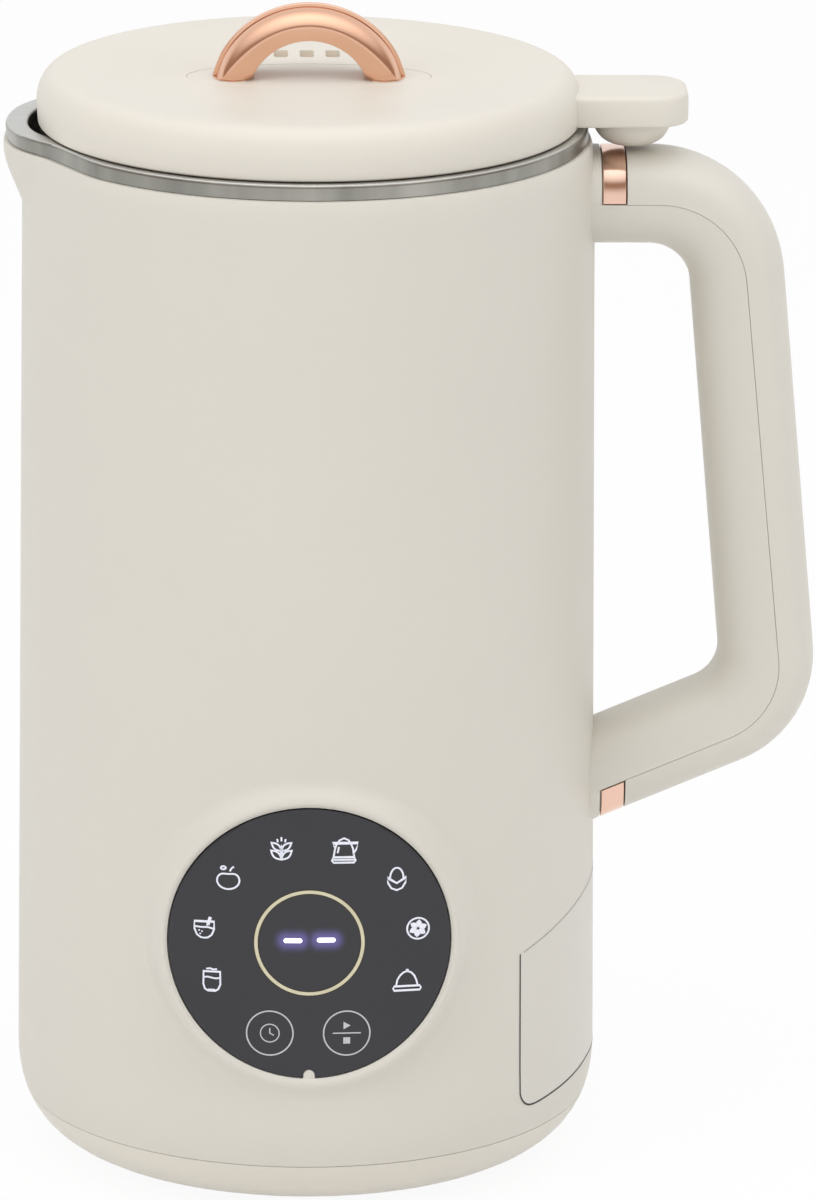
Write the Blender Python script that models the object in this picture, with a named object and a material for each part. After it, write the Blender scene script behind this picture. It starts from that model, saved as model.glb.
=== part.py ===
"""Soy milk maker: a countertop jug with a heated steel cup, a motor in its base and a lift-off lid.

Units are metres, +Z is up, -Y is the front with the touch panel, +X is the handle's side.
Every piece is one object. What turns hangs on rotor_axis, and what lifts off hangs on lid_seat.
"""

import math

import bmesh
import bpy
from mathutils import Matrix, Vector

# Clearances
GAP = 0.0003
OVERRUN = 0.002
WELD = 0.000002

# Facets round a turned piece, by its size
TINY_ROUND = 8
SCREW_ROUND = 10
SMALL_ROUND = 12
ROUND = 16
WIDE_ROUND = 20
LARGE_ROUND = 24
MOTOR_ROUND = 28
LINER_ROUND = 48
CREASE_DEGREES = 40.0
SOFT_CREASE_DEGREES = 50.0
HARD_CREASE_DEGREES = 35.0

# Feet and base cover
FOOT_PROUD = 0.0015
FOOT_RADIUS = 0.0068
FOOT_SEAT_DEPTH = 0.0012
FOOT_EDGE = 0.0006
FOOT_CIRCLE_SHARE = 0.60
FOOT_COUNT = 4
BASE_HEIGHT = 0.0120
BASE_WALL = 0.0025
BASE_TONGUE_HEIGHT = 0.0040
BASE_TONGUE_WALL = 0.0018
VENT_COUNT = 14
VENT_WIDTH = 0.0022
VENT_INNER_RADIUS = 0.0120
VENT_FOOT_CLEARANCE = 0.0062
SCREW_CIRCLE_SHARE = 0.60
SCREW_COUNT = 4
SCREW_SHANK_RADIUS = 0.0015
SCREW_HEAD_RADIUS = 0.0030
SCREW_HEAD_HEIGHT = 0.0018
SCREW_LENGTH = 0.0100
SCREW_BOSS_WALL = 0.0016
DRIVE_RADIUS = 0.0013
DRIVE_DEPTH = 0.0009

# Housing
BODY_RADIUS = 0.0666
BODY_TAPER = 0.0021
BODY_WALL = 0.0025
BASE_ROUND_WIDTH = 0.0196
ROUND_HEIGHT = 0.0220
ROUND_POWER = 2.3
HOUSING_HEIGHT = 0.22335
SHOULDER_HEIGHT = 0.0070
SEAM_GAP = 0.0003
LIP_PROUD = 0.0002

# Spout
SPOUT_REACH = 0.0053
SPOUT_DROP = 0.0141
SPOUT_HALF_ANGLE = math.radians(23.0)
SPOUT_TURN = math.radians(2.0)
SPOUT_POWER = 2.6
SPOUT_FOOT_WIDTH_SHARE = 0.55
SPOUT_BLEND_SHARE = 0.5
SPOUT_FAN = math.radians(42.0)
PINCH_ANGLE = math.radians(31.0)
PINCH_HALF_ANGLE = math.radians(15.0)
PINCH_DEPTH = 0.0012
SPOUT_STEPS = 19
ROUND_STEPS = 31

# Steel cup
RIM_INSET = 0.0015
RIM_BAND = 0.00345
RIM_FACE = 0.0046
RIM_EDGE = 0.0006
RIM_LIP = 0.0010
STEEL = 0.0008
CUP_INSET = 0.0065
MOTOR_ROOM = 0.0963
CUP_CORNER = 0.0100
CUP_CORNER_STEPS = 3
FLARE_STEPS = 4

# Touch panel
PANEL_HEIGHT = 0.0673
PANEL_RADIUS_SHARE = 0.4745
PANEL_THICKNESS = 0.0016
PANEL_CURVE_SHARE = 2.1
PANEL_PROUD = 0.0013
PANEL_MARGIN = 0.0016
PANEL_SHOULDER = 0.0055
PANEL_HOLE_SHARE = 0.86
NOTCH_RADIUS = 0.0012
NOTCH_DEPTH = 0.0017
NOTCH_STEPS = 6
PANEL_SINK = 0.0006
PANEL_STEPS = 32
BOSS_CORE_SHARE = 0.8
BOARD_THICKNESS = 0.0016
BOARD_RADIUS_SHARE = 0.78
DISPLAY_WIDTH = 0.0180
DISPLAY_HEIGHT = 0.0110
DISPLAY_DEPTH = 0.0070
DIGIT_STROKE = 0.0012
DIGIT_WIDTH = 0.0046
DIGIT_PITCH = 0.0077
DIGIT_SINK = 0.0005
KEY_SPREAD_SHARE = 0.275
KEY_DROP_SHARE = 0.64
KEY_SPRING_RADIUS = 0.0026
KEY_WIRE = 0.0007
KEY_TURNS = 3
KEY_TURN_STEPS = 8

# Handle
HANDLE_WIDTH = 0.0260
HANDLE_WALL = 0.0022
HANDLE_POWER = 2.6
HANDLE_DROP = 0.0061
HANDLE_TOP_DEPTH = 0.0208
HANDLE_SEAM_DEPTH = 0.0097
GRIP_STAND = 0.0386
GRIP_DEPTH = 0.0196
GRIP_SEAM_DEPTH = 0.0083
HANDLE_FALL = 0.1355
GRIP_LEAN = 0.0126
LOWER_SEAM_LIFT = 0.0051
LOWER_SEAM_DEPTH = 0.0090
INNER_LIFT = 0.0335
INNER_LEAN = 0.0092
LOWER_SLOPE = math.radians(23.0)
OUTER_CORNER_TOP = 0.0306
SEAM_CORNER_TOP = 0.0200
INNER_CORNER_TOP = 0.0100
OUTER_CORNER_LOW = 0.0266
SEAM_CORNER_LOW = 0.0180
INNER_CORNER_LOW = 0.0090
CORNER_STEPS = 8
GRIP_STEPS = 3
SECTION_STEPS = 10
TRIM_WIDTH = 0.0052
TRIM_STANDOFF = 0.0011
TRIM_WALL = 0.0010
HANDLE_BLOCK_OVERLAP = 0.0010
HANDLE_SCREW_SHANK = 0.0016
HANDLE_SCREW_HEAD = 0.0032
HANDLE_SCREW_HEAD_HEIGHT = 0.0018
HANDLE_SCREW_REACH = 0.0060
HANDLE_SCREW_DROP = 0.0100
HANDLE_SCREW_LIFT = 0.0110

# Lid
LID_GAP = 0.0004
LID_INSET = 0.0019
LID_HEIGHT = 0.0113
LID_DISH = 0.0015
LID_FLAT_RADIUS = 0.0310
LID_DISH_STEPS = 3
LID_WALL = 0.0022
LID_FOOT_INSET = 0.0012
LID_ROUND_WIDTH = 0.0045
LID_SIDE_SHARE = 0.40
LID_ROUND_STEPS = 4
LID_STEPS = 48
ARM_LENGTH = 0.0243
ARM_WIDTH = 0.0220
ARM_THICKNESS = 0.0074
ARM_DROP = 0.0033
ARM_CORNER = 0.0075
ARM_EDGE = 0.0011
ARM_ROOT_STEPS = 4
ARM_CORNER_STEPS = 5
ARM_EDGE_STEPS = 2
VENT_SLOT_COUNT = 5
VENT_SLOT_PITCH = 0.0059
VENT_SLOT_WIDTH = 0.0030
VENT_SLOT_LENGTH = 0.0064
VENT_SLOT_BACK = 0.0226
BAFFLE_THICKNESS = 0.0010
BAFFLE_MARGIN = 0.0030
INSERT_HALF_LENGTH = 0.0275
INSERT_HALF_WIDTH = 0.0125
INSERT_THICKNESS = 0.0012
INSERT_STEPS = 32
ARCH_HALF_SPAN = 0.0217
ARCH_INNER_HALF_SPAN = 0.0127
ARCH_RISE = 0.0166
ARCH_INNER_RISE = 0.0090
ARCH_CREASE_RISE = 0.0124
ARCH_DEPTH = 0.0080
ARCH_POWER = 2.0
ARCH_STEPS = 18
ARCH_CROWN_STEPS = 6
LINER_CLEARANCE = 0.0015
LINER_FLANGE = 0.0014
LINER_DEPTH = 0.0120
LINER_WALL = 0.0015
SEAL_HEIGHT = 0.0050
SEAL_GROOVE = 0.0016
SEAL_LOW = 0.0030
MAGNET_CAP_RADIUS = 0.0084
MAGNET_CAP_OFFSET = 0.0113
MAGNET_CAP_FOOT_SHARE = 0.35
MAGNET_RADIUS = 0.0046
MAGNET_HEIGHT = 0.0030
MAGNET_CAP_REST = 0.0011
DOME_STEPS = 4
REED_LENGTH = 0.0120
REED_WIDTH = 0.0045
REED_HEIGHT = 0.0040
REED_EDGE = 0.0004
REED_SETBACK = 0.0012
REED_DROP = 0.0009

# Motor and rotor
SHAFT_RADIUS = 0.0030
SHAFT_LOW = 0.0065
FAN_RADIUS_SHARE = 0.39
FAN_LOW = 0.0075
FAN_DISC = 0.0014
FAN_CLEARANCE = 0.0028
FAN_BLADES = 8
FAN_BLADE_WALL = 0.0012
FAN_HUB_RADIUS = 0.0058
FAN_BLADE_INNER_SHARE = 0.42
FAN_BLADE_REACH_SHARE = 0.97
FAN_BLADE_SHARES = (0.0, 0.35, 0.7, 1.0)
FAN_SWEEP = math.radians(20.0)
FAN_SWEEP_POWER = 1.5
LOWER_BRACKET_SHARE = 0.1973
BRACKET_PLATE = 0.0028
BRACKET_RADIUS_SHARE = 0.909
BRACKET_LEG_WIDTH = 0.0100
BRACKET_LEG_DEPTH = 0.0050
BEARING_RADIUS = 0.0080
BEARING_HEIGHT = 0.0050
BEARING_SEAT_WALL = 0.0022
COMMUTATOR_RADIUS = 0.0080
COMMUTATOR_CLEARANCE = 0.0014
COMMUTATOR_BARS = 10
COMMUTATOR_SLOT = 0.0006
COMMUTATOR_SLOT_DEPTH = 0.0012
ARMATURE_RADIUS_SHARE = 0.4455
ARMATURE_TEETH = 10
ARMATURE_SLOT_SHARE = 0.32
ARMATURE_CORE_SHARE = 0.58
WINDING_RADIUS_SHARE = 0.782
WINDING_OVERHANG = 0.0052
STATOR_Z_SHARE = 0.379
STATOR_HEIGHT_SHARE = 0.249
STATOR_RADIUS_SHARE = 0.4955
AIR_GAP = 0.0006
COIL_PLACE_SHARE = 0.582
COIL_HALF_SPAN_SHARE = 0.4545
COIL_BAND_SHARE = 0.139
COIL_THICKNESS_SHARE = 0.127
COIL_OVERHANG = 0.0060
COIL_INNER_CORNER = 0.0015
COIL_CORNER_STEPS = 2
BRUSH_WIDTH = 0.0050
BRUSH_HEIGHT_SHARE = 0.8
BRUSH_LENGTH = 0.0100
BRUSH_HOLDER_WALL = 0.0010
BRUSH_HOLDER_CLEARANCE = 0.0025
BRUSH_HOLDER_START = 0.0105
CHASSIS_DROP = 0.0174
CHASSIS_PLATE = 0.0030
CHASSIS_RADIUS_SHARE = 0.736
CHASSIS_WALL = 0.0022
CHASSIS_HUB_RADIUS = 0.0110
POST_RADIUS = 0.0037

# Heater and shaft seal
HEATER_CIRCLE_SHARE = 0.584
HEATER_TUBE = 0.0042
HEATER_SWEEP = math.radians(300.0)
THERMOSTAT_RADIUS = 0.0062
THERMOSTAT_HEIGHT = 0.0060
THERMOSTAT_PLACE_SHARE = 0.354
SEAL_BUSH_RADIUS = 0.0078
SEAL_FLANGE_RADIUS = 0.0120
SEAL_FLANGE = 0.0020
SEAL_NOSE = 0.0045
SEAL_NOSE_RADIUS = 0.0062
SEAL_TAIL = 0.0070

# Blades
BLADE_THICKNESS = 0.0012
BLADE_REACH_SHARE = 0.425
BLADE_HUB_RADIUS = 0.0065
BLADE_ROOT_WIDTH = 0.0085
BLADE_TIP_WIDTH = 0.0040
BLADE_ARMS = 4
BLADE_SHARES = (0.3, 1.0)
BLADE_RISE = 0.0085
BLADE_FALL = 0.0030
BLADE_SPACER = 0.0010
NUT_SIDES = 6
NUT_RADIUS = 0.0056
NUT_HEIGHT = 0.0060
NUT_DOME = 0.0025
NUT_CHAMFER_SHARE = 0.7

# Power parts
POWER_BOARD_PLACE_SHARE = 0.69
POWER_BOARD_WIDTH_SHARE = 0.66
POWER_BOARD_LOW = 0.0120
POWER_BOARD_HEIGHT = 0.0600
BOARD_RIB_WIDTH = 0.0050
BOARD_RIB_DEPTH = 0.0060
BOARD_RIB_HEIGHT = 0.0130
TRANSFORMER_HEIGHT = 0.0200
TRANSFORMER_WIDTH = 0.0180
TRANSFORMER_DEPTH_SHARE = 0.15
TRANSFORMER_LIFT = 0.0300
BLOCK_EDGE = 0.0008
INLET_HEIGHT = 0.0340
INLET_WIDTH = 0.0280
INLET_TALL = 0.0200
INLET_DEPTH = 0.0200
INLET_WALL = 0.0018
INLET_BACK = 0.0040
INLET_FLANGE_MARGIN = 0.0030
INLET_FLANGE = 0.0024
INLET_CHAMFER = 0.0040
INLET_PIN_SPREAD = 0.0070
INLET_PIN_RISE = 0.0020
INLET_PIN_WIDTH = 0.0020
INLET_PIN_TALL = 0.0040
INLET_PIN_SHORT = 0.0050
INLET_PIN_TAIL = 0.0040
INLET_PIN_EDGE = 0.0004

# Heights worked out from the sizes above
BASE_Z = FOOT_PROUD
SEAM_Z = BASE_Z + BASE_HEIGHT
ROUND_Z = BASE_Z + ROUND_HEIGHT
RIM_LOW_Z = SEAM_Z + HOUSING_HEIGHT
RIM_TOP_Z = RIM_LOW_Z + RIM_BAND
SPOUT_Z = RIM_LOW_Z - SPOUT_DROP
CUP_FLOOR_Z = BASE_Z + MOTOR_ROOM
CUP_BASE_Z = CUP_FLOOR_Z - STEEL
LID_Z = RIM_TOP_Z + LID_GAP
LID_TOP_Z = LID_Z + LID_HEIGHT
LID_FLAT_Z = LID_TOP_Z - LID_DISH
ARM_Z = LID_TOP_Z - ARM_DROP - ARM_THICKNESS
HANDLE_TOP = RIM_TOP_Z - HANDLE_DROP
HANDLE_FOOT_Z = HANDLE_TOP - HANDLE_FALL
INNER_FALL = HANDLE_FALL - INNER_LIFT
BASE_FLOOR_Z = BASE_Z + BASE_WALL
CHASSIS_Z = CUP_BASE_Z - CHASSIS_DROP
UPPER_BRACKET_Z = CHASSIS_Z - BRACKET_PLATE - 2 * GAP
STATOR_Z = BASE_Z + MOTOR_ROOM * STATOR_Z_SHARE
STATOR_HEIGHT = MOTOR_ROOM * STATOR_HEIGHT_SHARE
STATOR_TOP_Z = STATOR_Z + STATOR_HEIGHT
LOWER_BRACKET_Z = BASE_Z + MOTOR_ROOM * LOWER_BRACKET_SHARE
COMMUTATOR_Z = LOWER_BRACKET_Z + BRACKET_PLATE + 2 * GAP
COMMUTATOR_HEIGHT = STATOR_Z - WINDING_OVERHANG - COMMUTATOR_CLEARANCE - COMMUTATOR_Z
BRUSH_HEIGHT = COMMUTATOR_HEIGHT * BRUSH_HEIGHT_SHARE
LOWER_BEARING_Z = LOWER_BRACKET_Z + BRACKET_PLATE - BEARING_HEIGHT
FAN_TOP_Z = LOWER_BEARING_Z - FAN_CLEARANCE

# Widths worked out from the sizes above
BODY_TOP_RADIUS = BODY_RADIUS - BODY_TAPER
FLAT_RADIUS = BODY_RADIUS - BASE_ROUND_WIDTH
RIM_RADIUS = BODY_TOP_RADIUS - RIM_INSET
CUP_RADIUS = RIM_RADIUS - CUP_INSET
FACET_HALF_ANGLE = (math.pi - SPOUT_FAN) / ROUND_STEPS
LID_RADIUS = RIM_RADIUS - LID_INSET
LID_PLATEAU_RADIUS = LID_RADIUS - LID_ROUND_WIDTH
LINER_RADIUS = CUP_RADIUS - LINER_CLEARANCE
ARM_REACH = LID_RADIUS + ARM_LENGTH
MAGNET_CAP_PLACE = LID_RADIUS + MAGNET_CAP_OFFSET
SPOUT_TIP = RIM_RADIUS + SPOUT_REACH
GRIP_REACH = BODY_RADIUS + GRIP_STAND
HANDLE_FOOT_X = GRIP_REACH + GRIP_LEAN
FOOT_CIRCLE = BODY_RADIUS * FOOT_CIRCLE_SHARE
SCREW_CIRCLE = BODY_RADIUS * SCREW_CIRCLE_SHARE
VENT_OUTER_RADIUS = FOOT_CIRCLE - FOOT_RADIUS - VENT_FOOT_CLEARANCE
PANEL_RADIUS = BODY_RADIUS * PANEL_RADIUS_SHARE
PANEL_CURVE = BODY_RADIUS * PANEL_CURVE_SHARE
PANEL_HOLE = PANEL_RADIUS * PANEL_HOLE_SHARE
BOARD_RADIUS = PANEL_RADIUS * BOARD_RADIUS_SHARE
KEY_SPREAD = PANEL_RADIUS * KEY_SPREAD_SHARE
KEY_DROP = PANEL_RADIUS * KEY_DROP_SHARE
FAN_RADIUS = BODY_RADIUS * FAN_RADIUS_SHARE
STATOR_RADIUS = BODY_RADIUS * STATOR_RADIUS_SHARE
ARMATURE_RADIUS = STATOR_RADIUS * ARMATURE_RADIUS_SHARE
WINDING_RADIUS = ARMATURE_RADIUS * WINDING_RADIUS_SHARE
COIL_PLACE = STATOR_RADIUS * COIL_PLACE_SHARE
COIL_HALF_SPAN = STATOR_RADIUS * COIL_HALF_SPAN_SHARE
COIL_BAND = STATOR_RADIUS * COIL_BAND_SHARE
COIL_THICKNESS = STATOR_RADIUS * COIL_THICKNESS_SHARE
BRACKET_RADIUS = STATOR_RADIUS * BRACKET_RADIUS_SHARE
BRUSH_HOLDER_LENGTH = BRACKET_RADIUS - BRACKET_LEG_DEPTH - BRUSH_HOLDER_START - BRUSH_HOLDER_CLEARANCE
CHASSIS_RADIUS = BODY_RADIUS * CHASSIS_RADIUS_SHARE
CHASSIS_WALL_RADIUS = CUP_RADIUS - CUP_CORNER - CHASSIS_WALL - GAP
HEATER_CIRCLE = CUP_RADIUS * HEATER_CIRCLE_SHARE
THERMOSTAT_PLACE = CUP_RADIUS * THERMOSTAT_PLACE_SHARE
BLADE_REACH = CUP_RADIUS * BLADE_REACH_SHARE
POWER_BOARD_PLACE = BODY_RADIUS * POWER_BOARD_PLACE_SHARE
POWER_BOARD_WIDTH = BODY_RADIUS * POWER_BOARD_WIDTH_SHARE
TRANSFORMER_DEPTH = BODY_RADIUS * TRANSFORMER_DEPTH_SHARE

COLOURS = {
    "cream": ((0.71, 0.68, 0.60), 0.45, 0.0),
    "lid_cream": ((0.80, 0.77, 0.69), 0.40, 0.0),
    "beige": ((0.62, 0.52, 0.40), 0.50, 0.0),
    "rose_gold": ((0.80, 0.46, 0.32), 0.18, 1.0),
    "steel": ((0.56, 0.56, 0.54), 0.30, 1.0),
    "dark_window": ((0.055, 0.055, 0.060), 0.25, 0.0),
    "lamp": ((0.85, 0.85, 1.0), 0.40, 0.0),
    "rubber": ((0.10, 0.10, 0.10), 0.80, 0.0),
    "silicone": ((0.75, 0.74, 0.70), 0.60, 0.0),
    "board_green": ((0.03, 0.16, 0.07), 0.50, 0.0),
    "copper": ((0.72, 0.32, 0.16), 0.35, 1.0),
    "iron": ((0.28, 0.28, 0.29), 0.45, 1.0),
    "black": ((0.03, 0.03, 0.03), 0.50, 0.0),
    "brass": ((0.75, 0.58, 0.28), 0.30, 1.0),
    "aluminium": ((0.70, 0.70, 0.71), 0.40, 1.0),
}


# Helpers: materials, objects and basic solids

def clear_scene():
    """Remove whatever the opened file holds."""
    for item in list(bpy.data.objects):
        bpy.data.objects.remove(item, do_unlink=True)


def material(name):
    """The named finish as a Principled material, made once."""
    found = bpy.data.materials.get(name)
    if found:
        return found
    colour, roughness, metallic = COLOURS[name]
    made = bpy.data.materials.new(name)
    made.use_nodes = True
    shader = made.node_tree.nodes["Principled BSDF"]
    shader.inputs["Base Color"].default_value = (*colour, 1.0)
    shader.inputs["Roughness"].default_value = roughness
    shader.inputs["Metallic"].default_value = metallic
    return made


def empty(name, place):
    """An empty that pieces hang on."""
    made = bpy.data.objects.new(name, None)
    made.location = place
    bpy.context.scene.collection.objects.link(made)
    return made


def finish(name, mesh, finish_name, parent, place=(0.0, 0.0, 0.0), crease=CREASE_DEGREES):
    """Turn a bmesh into an object with outward faces, its finish and its parent."""
    bmesh.ops.remove_doubles(mesh, verts=mesh.verts, dist=WELD)
    bmesh.ops.recalc_face_normals(mesh, faces=mesh.faces)
    data = bpy.data.meshes.new(name)
    mesh.to_mesh(data)
    mesh.free()
    data.shade_smooth()
    data.set_sharp_from_angle(angle=math.radians(crease))
    made = bpy.data.objects.new(name, data)
    made.location = place
    made.parent = parent
    bpy.context.scene.collection.objects.link(made)
    if finish_name:
        data.materials.append(material(finish_name))
    else:
        made.hide_render = True
        made.display_type = "WIRE"
    return made


def combine(target, tool, operation):
    """Cut the tool out of the target, or join it on, with a Boolean modifier."""
    step = target.modifiers.new(tool.name, "BOOLEAN")
    step.operation = operation
    step.object = tool
    step.solver = "EXACT"


def cut(target, tool):
    """Cut a hidden tool out of the target."""
    combine(target, tool, "DIFFERENCE")


def join(target, tool):
    """Fuse a hidden tool with the target."""
    combine(target, tool, "UNION")


def turned(mesh, profile, steps, closed=True):
    """Spin a profile of (radius, height) points round Z. An open profile starts and ends on the axis."""
    verts = [mesh.verts.new((radius, 0.0, height)) for radius, height in profile]
    pairs = list(zip(verts, verts[1:]))
    if closed:
        pairs.append((verts[-1], verts[0]))
    edges = [mesh.edges.new(pair) for pair in pairs]
    bmesh.ops.spin(mesh, geom=verts + edges, cent=(0, 0, 0), axis=(0, 0, 1), angle=math.tau,
                   steps=steps, use_merge=True)
    return mesh


def turned_piece(name, profile, finish_name, parent, steps=LARGE_ROUND, closed=True, place=(0.0, 0.0, 0.0)):
    """A piece turned on the Z axis."""
    return finish(name, turned(bmesh.new(), profile, steps, closed), finish_name, parent, place)


def disc_profile(radius, low, high):
    """The half section of a plain round disc or rod."""
    return [(0.0, low), (radius, low), (radius, high), (0.0, high)]


def sleeve_profile(inner, outer, low, high):
    """The half section of a plain tube."""
    return [(inner, low), (outer, low), (outer, high), (inner, high)]


def box_into(mesh, low, high, turn=None):
    """Add a box between two corners, turned about the Z axis if an angle is given."""
    size = [top - bottom for bottom, top in zip(low, high)]
    centre = [(top + bottom) / 2 for bottom, top in zip(low, high)]
    matrix = Matrix.Translation(centre) @ Matrix.Diagonal((*size, 1.0))
    if turn is not None:
        matrix = Matrix.Rotation(turn, 4, "Z") @ matrix
    bmesh.ops.create_cube(mesh, size=1.0, matrix=matrix)


def box_piece(name, low, high, finish_name, parent, edge=0.0, place=(0.0, 0.0, 0.0)):
    """A block between two corners, with its edges broken if an edge width is given."""
    mesh = bmesh.new()
    box_into(mesh, low, high)
    if edge:
        bmesh.ops.bevel(mesh, geom=mesh.edges[:], offset=edge, segments=1, affect="EDGES")
    return finish(name, mesh, finish_name, parent, place)


def rod_into(mesh, radius, start, end, steps=SMALL_ROUND):
    """Add a plain rod between two points."""
    start = Vector(start)
    run = Vector(end) - start
    aim = Vector((0, 0, 1)).rotation_difference(run).to_matrix().to_4x4()
    matrix = Matrix.Translation(start + run / 2) @ aim
    bmesh.ops.create_cone(mesh, cap_ends=True, segments=steps, radius1=radius, radius2=radius,
                          depth=run.length, matrix=matrix)


def rod_tool(name, radius, start, end, parent, steps=SMALL_ROUND):
    """A hidden rod for cutting or joining."""
    mesh = bmesh.new()
    rod_into(mesh, radius, start, end, steps)
    return finish(name, mesh, None, parent)


def loft(mesh, rings, closed=False):
    """Skin a row of rings with equal point counts, and cap its ends unless it closes on itself."""
    rows = [[mesh.verts.new(point) for point in ring] for ring in rings]
    count = len(rows[0])
    following = rows[1:] + rows[:1] if closed else rows[1:]
    for row, after in zip(rows, following):
        for index in range(count):
            beside = (index + 1) % count
            mesh.faces.new((row[index], row[beside], after[beside], after[index]))
    if not closed:
        mesh.faces.new(rows[0])
        mesh.faces.new(rows[-1])
    return mesh


def prism(mesh, outline, low, high):
    """Extrude a flat outline of (x, y) points from one height to another."""
    face = mesh.faces.new([mesh.verts.new((x, y, low)) for x, y in outline])
    grown = bmesh.ops.extrude_face_region(mesh, geom=[face])
    raised = [item for item in grown["geom"] if isinstance(item, bmesh.types.BMVert)]
    bmesh.ops.translate(mesh, vec=(0, 0, high - low), verts=raised)
    return mesh


def upright_prism(outline, front, back):
    """Extrude an upright outline of (x, z) points along Y, from one depth to another."""
    mesh = prism(bmesh.new(), outline, -back, -front)
    bmesh.ops.rotate(mesh, cent=(0, 0, 0), matrix=Matrix.Rotation(math.pi / 2, 3, "X"), verts=mesh.verts)
    return mesh


def arc_points(centre_x, centre_y, radius, start, end, steps):
    """Points along an arc, both ends included."""
    turns = [start + (end - start) * step / steps for step in range(steps + 1)]
    return [(centre_x + radius * math.cos(turn), centre_y + radius * math.sin(turn)) for turn in turns]


def oval(half_length, half_width, steps):
    """The points of an ellipse."""
    turns = [math.tau * step / steps for step in range(steps)]
    return [(half_length * math.cos(turn), half_width * math.sin(turn)) for turn in turns]


def around(count, offset_share=0.0):
    """Equal turns round the axis, the first one shifted by a share of a step."""
    return [math.tau * (index + offset_share) / count for index in range(count)]


# Outer form of the jug, shared by every piece that lines up with it

def jug_angles():
    """Angles round the jug, closer together across the spout, which points along -X."""
    wide = math.tau - 2 * SPOUT_FAN
    rest = [-math.pi + SPOUT_FAN + wide * step / ROUND_STEPS for step in range(ROUND_STEPS)]
    fan = [math.pi - SPOUT_FAN + 2 * SPOUT_FAN * step / SPOUT_STEPS for step in range(SPOUT_STEPS)]
    return rest + fan


ANGLES = jug_angles()


def body_radius(height):
    """Outer radius of the jug at a height: rounded foot, slight taper, soft shoulder."""
    if height < ROUND_Z:
        share = min(1.0, (ROUND_Z - height) / ROUND_HEIGHT)
        curve = (1 - share ** ROUND_POWER) ** (1 / ROUND_POWER)
        return FLAT_RADIUS + (BODY_RADIUS - FLAT_RADIUS) * curve
    taper = (height - ROUND_Z) / (RIM_LOW_Z - ROUND_Z)
    radius = BODY_RADIUS + (BODY_TOP_RADIUS - BODY_RADIUS) * taper
    share = (height - RIM_LOW_Z + SHOULDER_HEIGHT) / SHOULDER_HEIGHT
    share = min(1.0, max(0.0, share))
    return radius - (BODY_TOP_RADIUS - RIM_RADIUS - LIP_PROUD) * (1 - math.sqrt(1 - share ** 2))


def spout_offset(angle):
    """Angle away from the spout's tip."""
    return abs(math.remainder(angle - math.pi + SPOUT_TURN, math.tau))


def spout_lobe(angle, share):
    """Plan form of the spout: 1 at its tip, running out softly into the round rim."""
    half = SPOUT_HALF_ANGLE * (SPOUT_FOOT_WIDTH_SHARE + (1 - SPOUT_FOOT_WIDTH_SHARE) * share)
    lobe = 1 - (spout_offset(angle) / half) ** SPOUT_POWER
    blend = max(SPOUT_BLEND_SHARE - abs(lobe), 0.0) ** 2 / (4 * SPOUT_BLEND_SHARE)
    return max(lobe, 0.0) + blend


def spout_pinch(angle):
    """How far the outside is drawn in beside the spout."""
    away = (spout_offset(angle) - PINCH_ANGLE) / PINCH_HALF_ANGLE
    return PINCH_DEPTH * math.cos(min(1.0, abs(away)) * math.pi / 2) ** 2


def spout_bulge(angle, height, outside):
    """What the spout adds to a radius at an angle and a height."""
    share = min(1.0, max(0.0, (height - SPOUT_Z) / (RIM_TOP_Z - SPOUT_Z)))
    reach = SPOUT_REACH * spout_lobe(angle, share)
    if outside:
        reach -= spout_pinch(angle)
    return reach * math.sin(share * math.pi / 2)


def jug_ring(radius, height, outside=True):
    """A ring of the jug at a height, with the spout's bulge and, outside, the pinch beside it."""
    ring = []
    for angle in ANGLES:
        reach = radius + spout_bulge(angle, height, outside)
        ring.append((reach * math.cos(angle), reach * math.sin(angle), height))
    return ring


def plain_ring(radius, height):
    """A round ring on the jug's own angles."""
    return [(radius * math.cos(angle), radius * math.sin(angle), height) for angle in ANGLES]


def spread(low, high, shares):
    """Values between two ends at the given shares of the way."""
    return [low + (high - low) * share for share in shares]


# Base cover, feet and screws

BASE_CURVE_SHARES = (0.0, 0.06, 0.24, 0.55, 1.0)


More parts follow.
